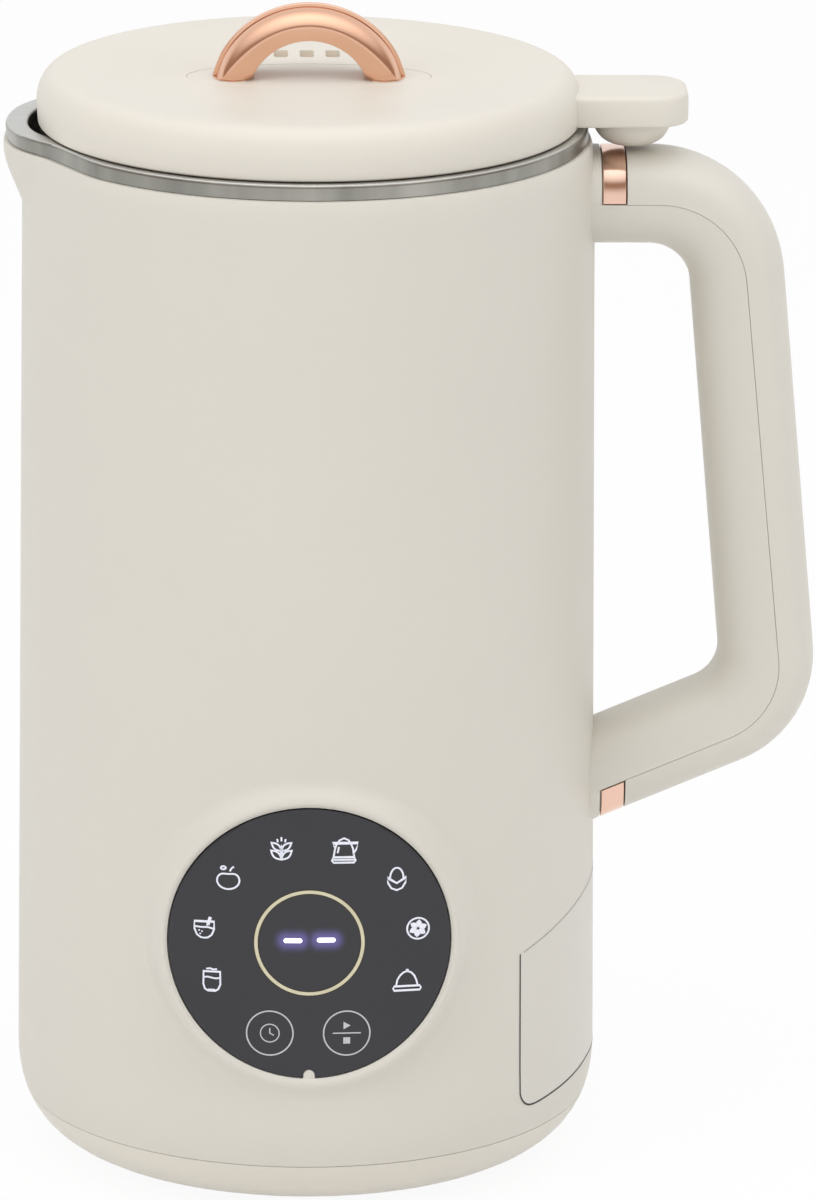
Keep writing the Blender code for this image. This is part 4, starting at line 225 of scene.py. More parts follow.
def seat(piece, finish, body, slot, *nodes):
    """Give a piece its finish and its body, and hide the nodes that it stands for. The slot is not used."""
    piece.data.materials.clear()
    piece.data.materials.append(finish)
    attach(piece, body)
    if nodes:
        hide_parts(*nodes)
    print(f"{piece.name}: {len(piece.data.polygons)} faces")
    return piece


def combine(piece, operation, *lots, sharp=32.0):
    """Cut lots out of a piece or fuse them with it, and mark its sharp edges again."""
    tool = build("tool", together(*lots))
    step = piece.modifiers.new("combine", "BOOLEAN")
    step.operation, step.solver, step.object = operation, "EXACT", tool
    bpy.context.view_layer.update()
    ready = piece.evaluated_get(bpy.context.evaluated_depsgraph_get())
    result = bpy.data.meshes.new_from_object(ready)
    piece.modifiers.clear()
    piece.data = result
    shade(result, sharp)
    bpy.data.objects.remove(tool)


# %% [markdown]
# Finishes that share an effect share a node group. The first group lets a colour drift slightly over
# the surface, as any moulded or painted part does. The second makes the fine grain of moulded plastic,
# with a roughness that varies a little. The third darkens steel along upright streaks: fine lines of
# brushing, and, where they are set broad and dark, painted reflections.

# %% Node helpers
def add_node(tree, kind, inputs=None, **settings):
    """A shader node with its settings, whose inputs take sockets or plain values."""
    made = tree.nodes.new(kind)
    for label, value in settings.items():
        setattr(made, label, value)
    for label, value in (inputs or {}).items():
        if isinstance(value, bpy.types.NodeSocket):
            tree.links.new(value, made.inputs[label])
        else:
            made.inputs[label].default_value = value
    return made


def math_node(tree, operation, first, second=0.0):
    """A Math node on two sockets or numbers."""
    return add_node(tree, "ShaderNodeMath", {0: first, 1: second}, operation=operation).outputs[0]


def noise_node(tree, vector, scale, detail=2.0):
    """A noise texture on a vector."""
    inputs = {"Vector": vector, "Scale": scale, "Detail": detail}
    return add_node(tree, "ShaderNodeTexNoise", inputs).outputs["Fac"]


def range_node(tree, value, low, high, to_low=0.0, to_high=1.0, **settings):
    """A Map Range node from one span to another."""
    inputs = {"Value": value, "From Min": low, "From Max": high, "To Min": to_low, "To Max": to_high}
    return add_node(tree, "ShaderNodeMapRange", inputs, **settings).outputs["Result"]


def mixed(tree, share, first, second, blend_type="MIX"):
    """A mix of two colours."""
    mix = add_node(tree, "ShaderNodeMix", {"Factor": share, "A": first, "B": second}, data_type="RGBA",
                   blend_type=blend_type)
    return mix.outputs["Result"]


def place_on(tree):
    """The place on an object that a node tree looks at."""
    return add_node(tree, "ShaderNodeTexCoord").outputs["Object"]


def split_place(tree, place):
    """The three lengths in a place."""
    return add_node(tree, "ShaderNodeSeparateXYZ", {"Vector": place}).outputs


def new_group(name, inputs, outputs):
    """An empty node group, with the sockets that come into it and the sockets that leave it."""
    group = bpy.data.node_groups.new(name, "ShaderNodeTree")
    for label, value in inputs.items():
        kind = "NodeSocketColor" if isinstance(value, tuple) else "NodeSocketFloat"
        group.interface.new_socket(name=label, in_out="INPUT", socket_type=kind).default_value = value
    for label in outputs:
        kind = "NodeSocketColor" if label == "Colour" else "NodeSocketFloat"
        group.interface.new_socket(name=label, in_out="OUTPUT", socket_type=kind)
    print("made the group", name)
    return group, group.nodes.new("NodeGroupInput").outputs, group.nodes.new("NodeGroupOutput").inputs


# %% Colour drift
drift_group, given, gives = new_group(
    "colour drift", {"Colour": (0.8, 0.8, 0.8, 1.0), "Other colour": (0.7, 0.7, 0.7, 1.0), "Scale": 30.0},
    ["Colour"])
cloud = noise_node(drift_group, place_on(drift_group), given["Scale"], 3.0)
blend = mixed(drift_group, range_node(drift_group, cloud, 0.3, 0.7), given["Colour"], given["Other colour"])
drift_group.links.new(blend, gives["Colour"])

# %% Moulded grain
grain_group, given, gives = new_group(
    "moulded grain", {"Grain size": 2500.0, "Roughness": 0.4, "Roughness spread": 0.06},
    ["Height", "Roughness"])
place = place_on(grain_group)
grain_group.links.new(noise_node(grain_group, place, given["Grain size"]), gives["Height"])
centred = math_node(grain_group, "SUBTRACT", noise_node(grain_group, place, 90.0, 3.0), 0.5)
swing = math_node(grain_group, "MULTIPLY", centred, given["Roughness spread"])
doubled = math_node(grain_group, "MULTIPLY", swing, 2.0)
grain_group.links.new(math_node(grain_group, "ADD", given["Roughness"], doubled), gives["Roughness"])

# %% Brushed lines
# The lines stand upright on the band, so the noise is stretched along the height and fine round the axis.
brush_and_reflection_group, given, gives = new_group(
    "brushed lines and painted reflections", {"Lines": 60.0, "Along": 40.0, "Dark": 0.8, "Light": 1.0}, ["Shade", "Height"])
place = split_place(brush_and_reflection_group, place_on(brush_and_reflection_group))
turn = math_node(brush_and_reflection_group, "ARCTAN2", place["Y"], math_node(brush_and_reflection_group, "SUBTRACT", place["X"], AXIS_X))
joined = add_node(brush_and_reflection_group, "ShaderNodeCombineXYZ", {
    "X": math_node(brush_and_reflection_group, "MULTIPLY", turn, given["Lines"]),
    "Z": math_node(brush_and_reflection_group, "MULTIPLY", place["Z"], given["Along"])})
lines = noise_node(brush_and_reflection_group, joined.outputs["Vector"], 1.0, 4.0)
shade_of_lines = range_node(brush_and_reflection_group, lines, 0.3, 0.7, given["Dark"], given["Light"])
brush_and_reflection_group.links.new(shade_of_lines, gives["Shade"])
brush_and_reflection_group.links.new(lines, gives["Height"])


# %% [markdown]
# Each finish is one material with its own Principled shader. The helper places the groups that it
# needs and sets their values, and it sets the plain numbers on the shader's own sockets.

# %% Finish helper
def finish(name, colour, other, roughness, drift=30.0, grain=2500.0, spread=0.06, bump=0.02, strokes=None,
           **plain):
    """A material whose colour drifts between two tones over a fine grain or brushed lines."""
    made = bpy.data.materials.new(name)
    made.use_nodes = True
    tree = made.node_tree
    shader = tree.nodes["Principled BSDF"].inputs
    tones = add_node(tree, "ShaderNodeGroup", node_tree=drift_group, inputs={
        "Colour": (*colour, 1.0), "Other colour": (*other, 1.0), "Scale": drift}).outputs["Colour"]
    moulded = add_node(tree, "ShaderNodeGroup", node_tree=grain_group, inputs={
        "Grain size": grain, "Roughness": roughness, "Roughness spread": spread}).outputs
    height = moulded["Height"]
    if strokes:
        brushed_on = add_node(tree, "ShaderNodeGroup", strokes, node_tree=brush_and_reflection_group).outputs
        tones = mixed(tree, 1.0, tones, brushed_on["Shade"], "MULTIPLY")
        height = brushed_on["Height"]
    raised = add_node(tree, "ShaderNodeBump", {"Strength": 0.5, "Distance": bump * MM, "Height": height})
    tree.links.new(tones, shader["Base Color"])
    tree.links.new(moulded["Roughness"], shader["Roughness"])
    tree.links.new(raised.outputs["Normal"], shader["Normal"])
    for socket, value in plain.items():
        shader[socket.replace("_", " ")].default_value = value
    return made


def brushed(name, colour, roughness, lines, along, dark, bump=0.01):
    """A steel finish darkened along upright streaks: fine lines of brushing, and, where they are set broad,
    painted reflections.
    """
    return finish(name, colour, colour, roughness, bump=bump, Metallic=1.0,
                  strokes={"Lines": lines, "Along": along, "Dark": dark, "Light": 1.0})


# %% [markdown]
# The housing is cream plastic with a satin coat. Its two tones are very close, so that it reads as one
# colour but never as a flat one. The lid is the same plastic, a touch lighter; the base cover wears the
# lid's lighter tone too, as painted light from below. The polished parts are rose gold plating on metal:
# a low roughness, so that the room shows in it, and a slightly uneven gloss. The trims get a paler,
# pinker copy of that plating, a painted reflection of the pale floor. Steel is brushed on the rim, and
# the cup's inside is smoother. The band's steel is darkened in broad upright patches, painted
# reflections, and the rim's flat land takes a lighter copy of the steel, painted light on its top.

# %% Finishes of the skins
SATIN = {"grain": 3200.0, "bump": 0.012, "Coat_Weight": 0.12, "Coat_Roughness": 0.35}
housing_cream = finish("housing cream", (0.690, 0.655, 0.585), (0.675, 0.643, 0.575), 0.46, 18.0, **SATIN)
lid_cream = finish("lid cream", (0.735, 0.690, 0.610), (0.722, 0.678, 0.600), 0.44, 20.0, **SATIN)
PLATED = {"drift": 40.0, "grain": 900.0, "spread": 0.03, "bump": 0.002, "Metallic": 1.0}
rose_gold = finish("rose gold", (0.860, 0.520, 0.365), (0.830, 0.495, 0.345), 0.17, **PLATED)
# The trims' copy of the plating is paler and pinker: a painted reflection of the pale floor they face.
trim_gold_painted_reflection = finish("paler rose gold, painted reflection", (0.870, 0.590, 0.470), (0.840, 0.565, 0.450), 0.17, **PLATED)
# The band's streaks are set broad and dark, so that they paint reflections of the studio on it. The land's
# finish is a lighter copy of the same steel: painted light on the rim's upward faces.
rim_steel_painted_reflections = brushed("rim steel with painted reflections", (0.445, 0.436, 0.394), 0.30, 4.6, 6.0, 0.55, bump=0.0)
land_steel_painted_light = brushed("rim land steel with painted light", (0.660, 0.655, 0.635), 0.34, 60.0, 40.0, 0.90, bump=0.0)
cup_steel = brushed("cup steel", (0.56, 0.545, 0.525), 0.26, 90.0, 300.0, 0.88)
skin_finishes = (housing_cream, lid_cream, rose_gold, trim_gold_painted_reflection, rim_steel_painted_reflections, land_steel_painted_light, cup_steel)
print("finishes of the skins:", [made.name for made in skin_finishes])

# %% [markdown]
# The camera. The photograph was taken from far away with a long lens, a little above the lid, turned
# about one and a half degrees to the left, and tilted by less than half a degree. The lens is set for
# the long side of an 816 by 1200 picture.

# %% Camera
AIM = Vector(to_frame((23.106, 0.0, 127.74)))
ELEVATION = math.radians(16.2055)
AZIMUTH = math.radians(-1.3719)
ROLL = math.radians(0.3958)
DISTANCE = 1.995
LENS = 261.36


def towards(azimuth, elevation):
    """The direction of a place in the studio. Azimuth 0 is in front."""
    return Vector((math.sin(azimuth) * math.cos(elevation), -math.cos(azimuth) * math.cos(elevation),
                   math.sin(elevation)))


back = towards(AZIMUTH, ELEVATION)
right = Vector((math.cos(AZIMUTH), math.sin(AZIMUTH), 0.0))
above = back.cross(right)
tilted_right = right * math.cos(ROLL) + above * math.sin(ROLL)
tilted_up = above * math.cos(ROLL) - right * math.sin(ROLL)
lens = bpy.data.cameras.new("studio camera")
lens.sensor_width, lens.sensor_fit, lens.lens = 36.0, "AUTO", LENS
lens.clip_start, lens.clip_end = 0.1, 50.0
camera = bpy.data.objects.new("studio_camera", lens)
bpy.context.scene.collection.objects.link(camera)
turned_camera = Matrix((tilted_right, tilted_up, back)).transposed().to_4x4()
camera.matrix_world = Matrix.Translation(AIM + back * DISTANCE) @ turned_camera
bpy.context.scene.camera = camera
print("camera at", [round(value, 3) for value in camera.location])

# %% [markdown]
# The studio. A plain pale floor keeps a soft shadow, and a white room closes round it. Three large
# soft lamps light the object evenly: one high above, one from each side. In reflections only, the room
# has a darker, warm band round its horizon on the camera's side, as a real studio has, and that gives
# the polished metal something to show. The lamps themselves stay out of the reflections.

# %% Floor
WHITE = (1.0, 1.0, 1.0, 1.0)
FLOOR_GLOW = 0.93
floor_data = bpy.data.meshes.new("studio_floor")
floor_mesh = bmesh.new()
bmesh.ops.create_circle(floor_mesh, cap_ends=True, radius=6.0, segments=96)
floor_mesh.to_mesh(floor_data)
floor_mesh.free()
floor = bpy.data.objects.new("studio_floor", floor_data)
bpy.context.scene.collection.objects.link(floor)

paper = bpy.data.materials.new("pale floor")
paper.use_nodes = True
tree = paper.node_tree
shader = tree.nodes["Principled BSDF"]
shader.inputs["Base Color"].default_value = (0.92, 0.92, 0.91, 1.0)
shader.inputs["Roughness"].default_value = 0.9
rays = add_node(tree, "ShaderNodeLightPath").outputs
seen = math_node(tree, "MAXIMUM", rays["Is Camera Ray"],
                 math_node(tree, "MAXIMUM", rays["Is Glossy Ray"], rays["Is Transmission Ray"]))
both = add_node(tree, "ShaderNodeMixShader", {
    "Fac": math_node(tree, "MULTIPLY", seen, FLOOR_GLOW), 1: shader.outputs["BSDF"],
    2: add_node(tree, "ShaderNodeEmission", {"Color": WHITE}).outputs["Emission"]})
tree.links.new(both.outputs["Shader"], tree.nodes["Material Output"].inputs["Surface"])
floor_data.materials.append(paper)
print("floor laid")

# %% White room
BANDS = [(0.0, (0.56, 0.56, 0.56)), (0.10, (0.50, 0.49, 0.48)), (0.30, (0.23, 0.165, 0.125)),
         (0.48, (0.21, 0.15, 0.115)), (0.62, (0.49, 0.48, 0.47)), (0.80, (0.75, 0.75, 0.75)),
         (1.0, (1.0, 1.0, 1.0))]
room = bpy.data.worlds.new("white room")
bpy.context.scene.world = room
room.use_nodes = True
tree = room.node_tree
tree.nodes.clear()


def glow_of(colour, strength):
    """A background of one strength."""
    return add_node(tree, "ShaderNodeBackground", {"Color": colour, "Strength": strength}).outputs[0]


rays = add_node(tree, "ShaderNodeLightPath").outputs
seen = math_node(tree, "MAXIMUM", rays["Is Camera Ray"], rays["Is Transmission Ray"])
place = split_place(tree, add_node(tree, "ShaderNodeTexCoord").outputs["Generated"])
bands = add_node(tree, "ShaderNodeValToRGB", {"Fac": place["Z"]})
while len(bands.color_ramp.elements) < len(BANDS):
    bands.color_ramp.elements.new(0.5)
for element, (position, tone) in zip(bands.color_ramp.elements, BANDS):
    element.position, element.color = position, (*tone, 1.0)
behind = range_node(tree, place["Y"], 0.0, 0.5)
backdrop = mixed(tree, behind, bands.outputs["Color"], (0.54, 0.54, 0.54, 1.0))
reflected = add_node(tree, "ShaderNodeMixShader", {
    "Fac": rays["Is Glossy Ray"], 1: glow_of((0.98, 0.985, 1.0, 1.0), 0.62), 2: glow_of(backdrop, 1.7)})
choice = add_node(tree, "ShaderNodeMixShader", {
    "Fac": seen, 1: reflected.outputs[0], 2: glow_of(WHITE, 1.0)})
add_node(tree, "ShaderNodeOutputWorld", {"Surface": choice.outputs[0]})
bpy.context.scene.view_settings.view_transform = "Standard"
print("room is white to the camera")

# %% Soft lamps
LAMPS = [("lamp_above", 10.0, 76.0, 1.5, 1.6, 11.2), ("lamp_front_left", -52.0, 28.0, 1.9, 1.2, 7.4),
         ("lamp_right", 64.0, 30.0, 1.9, 1.0, 4.2)]
LAMP_AIM = Vector((0.0, 0.0, 0.14))
for name, azimuth, elevation, distance, size, power in LAMPS:
    away = towards(math.radians(azimuth), math.radians(elevation))
    data = bpy.data.lights.new(name, "AREA")
    data.shape, data.size, data.energy = "SQUARE", size, power
    lamp = bpy.data.objects.new(name, data)
    lamp.location = LAMP_AIM + away * distance
    lamp.rotation_mode = "QUATERNION"
    lamp.rotation_quaternion = away.to_track_quat("Z", "Y")
    lamp.visible_glossy = False
    bpy.context.scene.collection.objects.link(lamp)

# %% [markdown]
# The housing. Most of it is a plain skin over rings, but the panel sits in a soft raised boss low on
# the front, and the ring of that boss has to stay crisp. So the grid leaves a window there, and a
# round patch fills it: it runs out from the panel's edge in circles and ends on the window's own
# points.

# %% The panel's face and boss
PANEL_Z = 67.3
PANEL_RADIUS = 31.6
PANEL_CURVE = 139.86
REBATE = PANEL_RADIUS + 0.25
REBATE_DEPTH = 1.9
BOSS_EDGE = PANEL_RADIUS + 1.6
BOSS_WIDTH = 4.8
BEAD = 0.78
BEAD_RISE = 1.25


def panel_face(x):
    """How far forward the panel's curved face stands, as a y value."""
    front = -(body_radius(PANEL_Z) + 1.3)
    return front + PANEL_CURVE - math.sqrt(PANEL_CURVE ** 2 - x ** 2)


def wall_face(x, z):
    """The housing's front wall at a place, as a y value."""
    return -math.sqrt(body_radius(z) ** 2 - x ** 2)


def boss_face(x, z):
    """The wall with the boss blended into it, and a soft bead round the panel."""
    away = math.hypot(x, z - PANEL_Z)
    blend = (1 - math.cos(math.pi * held((away - BOSS_EDGE) / BOSS_WIDTH))) / 2
    inside = held((away - REBATE) / BEAD_RISE)
    beyond = held((away - REBATE - BEAD_RISE) / 3.0)
    bead = BEAD * math.sin(math.pi / 2 * inside) * (1 + math.cos(math.pi * beyond)) / 2
    return panel_face(x) * (1 - blend) + wall_face(x, z) * blend + 0.12 * (1 - inside) - bead


print("the boss stands", round(wall_face(0, PANEL_Z) - panel_face(0), 2), "mm proud in its middle")

# %% Housing skin
SEAM_BREAK = 0.22
SIDE_COLUMNS = 26
WINDOW_FOOT, WINDOW_STEP, WINDOW_ROWS = 25.3, 3.0, 28
heights = [13.58, 14.0, 16.0, 18.5, 21.0, ROUND_TOP]
window_low = len(heights) + 1
window_high = window_low + WINDOW_ROWS
heights += [WINDOW_FOOT + WINDOW_STEP * step for step in range(WINDOW_ROWS + 1)]
heights += [130.0, 150.0, 170.0, 190.0, 208.0, SPOUT_START]
heights += [SPOUT_START + 13.8 * (step / 14) for step in range(1, 15)]
neck_in, neck_out, neck_top = MOUTH_RADIUS + 1.1, RIM_RADIUS - 1.1, 239.2
rings = [jug_ring(body_radius(SEAM) - SEAM_BREAK, SEAM)]
rings += [jug_ring(body_radius(height), height) for height in heights]
rings += [jug_ring(neck_out, 236.84), jug_ring(neck_out, neck_top), jug_ring(neck_in, neck_top, False),
          jug_ring(neck_in, 234.0, False)]
rings += [jug_ring(body_radius(height) - BODY_WALL, height) for height in (231.5, 228.0, SPOUT_START)]
rings += [round_ring(body_radius(height) - BODY_WALL, height) for height in (ROUND_TOP, SEAM)]
points, faces = skin(rings, closed=True)


def in_window(row, column):
    """Whether a grid cell lies in the panel's window."""
    return window_low <= row < window_high and (column + SIDE_COLUMNS) % COLUMNS < 2 * SIDE_COLUMNS


kept = [face for face in faces if not in_window(face[0] // COLUMNS, face[0] % COLUMNS)]
print("cells taken out for the panel:", len(faces) - len(kept))

# %% Round patch in the window
columns = [column % COLUMNS for column in range(-SIDE_COLUMNS, SIDE_COLUMNS + 1)]
border = [window_low * COLUMNS + column for column in columns]
border += [row * COLUMNS + columns[-1] for row in range(window_low + 1, window_high + 1)]
border += [window_high * COLUMNS + column for column in reversed(columns[:-1])]
border += [row * COLUMNS + columns[0] for row in range(window_high - 1, window_low, -1)]
circles = [REBATE + step for step in (0.04, 0.25, 0.5, 0.75, 1.0)]
circles += [BOSS_EDGE + BOSS_WIDTH * share for share in (0.0, 0.12, 0.25, 0.38, 0.5, 0.62, 0.75, 0.88, 1.0)]


def spoke(point):
    """A row of points from the rebate's floor over the boss to a point of the window's border."""
    x, _, z = point
    angle, far = math.atan2(z - PANEL_Z, x), math.hypot(x, z - PANEL_Z)

    def places(reaches):
        return [(reach * math.cos(angle), PANEL_Z + reach * math.sin(angle)) for reach in reaches]

    floor = places(REBATE * share for share in (0.3, 0.6, 0.9, 1.0))
    outer = places(circles[-1] + (far - circles[-1]) * share for share in (0.33, 0.66))
    return [*[(px, panel_face(px) + REBATE_DEPTH, pz) for px, pz in floor],
            *[(px, panel_face(px) + 0.4, pz) for px, pz in places([REBATE])],
            *[(px, boss_face(px, pz), pz) for px, pz in places(circles)],
            *[(px, wall_face(px, pz), pz) for px, pz in outer], point]


patch_points, patch_faces = skin(list(zip(*[spoke(points[index]) for index in border])))
patch_faces.pop()  # the patch ends on the grid's own points, so it has no cap there
housing = build("housing_skin", together((points, kept), (patch_points, patch_faces)), sharp=32.0)
print("points round the window:", len(border))

# %% [markdown]
# The housing has two openings: a round one behind the panel, for its display, and a square one low at
# the back for the mains inlet. Both are cut at once from the finished skin.

# %% Cut the housing's openings
def box_lot(low, high):
    """A box between two corners."""
    corners = [(low[0], low[1]), (high[0], low[1]), (high[0], high[1]), (low[0], high[1])]
    return skin([level(corners, height) for height in (low[2], high[2])])


display_hole = skin([[(x, y, z) for x, z in oval(0.0, PANEL_Z, 27.2, 27.2, 64)] for y in (-67.0, -50.0)])
combine(housing, "DIFFERENCE", display_hole, box_lot((-14.3, 49.0, 23.7), (14.3, 70.0, 44.3)))
seat(housing, housing_cream, "jug", "cream", "outer_shell")

# %% [markdown]
# The panel has a small notch at its foot, and the housing fills it with a round-topped tab. The tab is
# a separate little piece here, because it meets the skin only inside the rebate.

# %% Notch and tab
NOTCH_RADIUS = 1.4
NOTCH_DEPTH = 1.9
PANEL_FOOT = PANEL_Z - PANEL_RADIUS


def tab_ring(radius, depth):
    """The tab's outline at a depth behind the panel's face."""
    line = arc(0.0, PANEL_FOOT + NOTCH_DEPTH - NOTCH_RADIUS, radius, radius, 0, 180, 16)
    line += [(-radius, PANEL_FOOT - 0.6), (radius, PANEL_FOOT - 0.6)]
    return [(x, panel_face(0) + depth, z) for x, z in line]


tab = build("panel_tab", skin([tab_ring(1.33, 2.6), tab_ring(1.33, 0.22), tab_ring(1.22, 0.08)]))
seat(tab, housing_cream, "jug", "cream")

# %% [markdown]
# The base cover closes the foot of the jug. Its outside carries on the housing's rounded corner under
# a fine seam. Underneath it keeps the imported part's vents, feet and screws, so the same holes are cut
# in this finer skin.

# %% Base cover skin
FOOT_CIRCLE = 39.96
VENTS = 14


def upright_rod(x, y, radius, high, steps=32):
    """A rod along Z that stands on the floor."""
    return skin([level(oval(x, y, radius, radius, steps), height) for height in (0.0, high)])


def vent(turn):
    """A vent's box, turned about the axis."""
    points, faces = box_lot((12.0, -1.1, 0.0), (26.96, 1.1, 6.0))
    cosine, sine = math.cos(turn), math.sin(turn)
    return [(x * cosine - y * sine, x * sine + y * cosine, z) for x, y, z in points], faces


profile = [(44.5, 4.0), (50.0, 4.4), (56.0, 7.5), (59.5, 13.46), (body_radius(13.4) - SEAM_BREAK, 13.46)]
profile += [(body_radius(height), height)
            for height in (13.4, 13.0, 12.0, 10.2, 8.0, 6.0, 4.4, 3.2, 2.4, 1.9, 1.62)]
profile += [(body_radius(1.5) - 0.5, 1.5)]
cover = build("base_cover_skin", skin([round_ring(radius, height) for radius, height in profile]))
holes = [vent(math.tau * (index + 0.5) / VENTS) for index in range(VENTS)]
holes += [upright_rod(x, y, 7.1, 2.7, 48) for x, y in oval(0.0, 0.0, FOOT_CIRCLE, FOOT_CIRCLE, 4)]
holes += [upright_rod(x, y, 3.3, 6.0) for x, y in oval(0.0, 0.0, FOOT_CIRCLE, FOOT_CIRCLE, 4, 45.0)]
combine(cover, "DIFFERENCE", *holes)
# The base cover takes the lid's lighter cream: painted light that stands in for the light the floor throws
# up under the foot.
seat(cover, lid_cream, "jug", "cream", "base_cover")

# %% [markdown]
# The steel cup. One sheet is drawn deep, flares at its mouth, forms the spout and rolls over the
# housing's neck, so one closed profile makes it all. The rim's edges are small rounds: they catch the
# bright line that runs along the band in the photograph.

# %% Steel cup skin
CUP_RADIUS = 56.5
CUP_SHEET = 0.8
CUP_FLOOR = 97.0
FLARE = 16.55
BEND_R, BEND_Z = 46.5, 107.8
flare = [(CUP_RADIUS + 1.9 * (share / 10) ** 2, SPOUT_START + FLARE * share / 10) for share in range(11)]
rings = [round_ring(8.1, CUP_FLOOR + CUP_SHEET), round_ring(30.0, CUP_FLOOR + CUP_SHEET)]
rings += [round_ring(*place) for place in arc(BEND_R, BEND_Z, 10.0, 10.0, -90, 0, 8)]
rings += [round_ring(CUP_RADIUS, height) for height in (150.0, 200.0)]
rings += [jug_ring(*place, False) for place in flare + arc(59.4, 239.3, 1.0, 1.0, 180, 90, 4)[1:]]
rings += [jug_ring(*place) for place in arc(62.1, 239.4, 0.9, 0.9, 90, 0, 6)]
rings += [jug_ring(RIM_RADIUS, 237.2), jug_ring(RIM_RADIUS, RIM_LOW), jug_ring(62.2, RIM_LOW),
          jug_ring(62.2, 239.5), jug_ring(59.2, 239.5, False)]
rings += [jug_ring(radius + CUP_SHEET, height, False) for radius, height in reversed(flare[:-1])]
rings += [round_ring(CUP_RADIUS + CUP_SHEET, height) for height in (200.0, 150.0)]
rings += [round_ring(*place) for place in arc(BEND_R, BEND_Z, 10.8, 10.8, 0, -90, 8)]
rings += [round_ring(8.1, CUP_FLOOR)]
cup = build("steel_cup_skin", skin(rings, closed=True))
seat(cup, rim_steel_painted_reflections, "jug", "steel", "steel_cup")
cup.data.materials.append(cup_steel)
cup.data.materials.append(land_steel_painted_light)
# Upward faces on the rim take the lighter copy of the steel, painted light on its top.
steel_faces = [0, 0, 0]
for polygon in cup.data.polygons:
    if polygon.center.z / MM < 236.0:
        polygon.material_index = 1
    elif polygon.normal.z > 0.75:
        polygon.material_index = 2
    steel_faces[polygon.material_index] += 1
print("faces on the band, in the cup and on the rim's land:", steel_faces)

# %% [markdown]
# The panel window is a smoked plate, bent like the boss, with the notch at its foot. Its outline is
# drawn once and shrunk towards the middle in rings that all lie on the bent face.

# %% Panel window
swing = math.degrees(math.asin(NOTCH_RADIUS / PANEL_RADIUS))
window_edge = arc(0.0, 0.0, PANEL_RADIUS, PANEL_RADIUS, swing - 90, 270 - swing, 224)
window_edge += arc(0.0, NOTCH_DEPTH - NOTCH_RADIUS - PANEL_RADIUS, NOTCH_RADIUS, NOTCH_RADIUS, 180, 0, 12)
window_levels = [(0.3, 1.6), (0.99, 1.6), (1.0, 1.5), (1.0, 0.22), (0.9985, 0.07), (0.996, 0.0)]
window_levels += [(share, 0.0) for share in (0.97, 0.9, 0.78, 0.62, 0.45, 0.28, 0.12)]
rings = [[(x * share, panel_face(x * share) + depth, PANEL_Z + z * share) for x, z in window_edge]
         for share, depth in window_levels]
window = build("panel_window", skin(rings), sharp=40.0)
smoked = finish("smoked window", (0.020, 0.020, 0.026), (0.017, 0.017, 0.022), 0.34, 14.0, grain=3000.0,
                spread=0.04, bump=0.002, Coat_Weight=0.15, Coat_Roughness=0.2)
seat(window, smoked, "jug", "dark_window", "display_window")

# %% [markdown]
# Two dashes stand in the display when the machine waits. On the real panel they are lit bars behind the
# smoked plate, and their light spreads a little in it. Here the window's own finish carries the violet
# halo, as a soft mask round each dash, and the bright bars are thin pieces on the face.

# %% Glow in the window
DASHES = ((-3.70, 0.78), (3.75, 0.92))
DASH_ROUND = 0.56
DASH_RUN = 2.1 - DASH_ROUND

glow_group, given, gives = new_group("display glow", {"Glow colour": (0.2, 0.15, 0.8, 1.0)}, ["Colour"])
place = split_place(glow_group, place_on(glow_group))
halos = []
for x, z in DASHES:
    aside = math_node(glow_group, "SUBTRACT", place["X"], AXIS_X + x * MM)
    past = math_node(glow_group, "SUBTRACT", math_node(glow_group, "ABSOLUTE", aside), DASH_RUN * MM)
    beyond = math_node(glow_group, "MAXIMUM", past, 0.0)
    rise = math_node(glow_group, "SUBTRACT", place["Z"], (PANEL_Z + z) * MM)
    square = math_node(glow_group, "ADD", math_node(glow_group, "MULTIPLY", beyond, beyond),
                       math_node(glow_group, "MULTIPLY", rise, rise))
    fade = range_node(glow_group, math_node(glow_group, "SQRT", square), 0.25 * MM, 4.0 * MM, 1.0, 0.0,
                      interpolation_type="SMOOTHERSTEP")
    halos.append(math_node(glow_group, "POWER", fade, 1.7))
both = math_node(glow_group, "MAXIMUM", *halos)
glow_group.links.new(mixed(glow_group, both, (0.0, 0.0, 0.0, 1.0), given["Glow colour"]), gives["Colour"])

tree = smoked.node_tree
shader = tree.nodes["Principled BSDF"].inputs
halo = add_node(tree, "ShaderNodeGroup", {"Glow colour": (0.095, 0.075, 0.27, 1.0)}, node_tree=glow_group)
tree.links.new(halo.outputs["Colour"], shader["Emission Color"])
shader["Emission Strength"].default_value = 1.0
print("halos round the dashes:", len(halos))

# %% [markdown]
# The print on the panel is drawn as ribbons: a line is a row of points on the face, and the ribbon gives
# it an even width. Real print is a few hundredths of a millimetre thick, and so is this. A closed shape
# that is filled is a fan round its middle.

# %% Ribbon helpers
PRINT_LIFT = 0.05


def on_panel(x, z, lift=PRINT_LIFT):
    """A place on the panel's face, in millimetres from its centre."""
    return (x, panel_face(x) - lift, PANEL_Z + z)


def ribbon(line, width, closed=False, place=on_panel):
    """A flat band of even width along a line."""
    spots = [Vector(point) for point in line]
    count = len(spots)
    left, right = [], []
    for index, spot in enumerate(spots):
        before = spots[index - 1] if closed or index else spot
        after = spots[(index + 1) % count] if closed or index < count - 1 else spot
        along = (after - before).normalized()
        into, out = (spot - before), (after - spot)
        stretch = 1.0
        if into.length and out.length:
            stretch = 1 / max(0.6, math.cos(into.angle(out) / 2))
        side = Vector((-along.y, along.x)) * width / 2 * stretch
        left.append(place(*(spot + side)))
        right.append(place(*(spot - side)))
    ends = range(count if closed else count - 1)
    return left + right, [(index, count + index, count + (index + 1) % count, (index + 1) % count)
                          for index in ends]


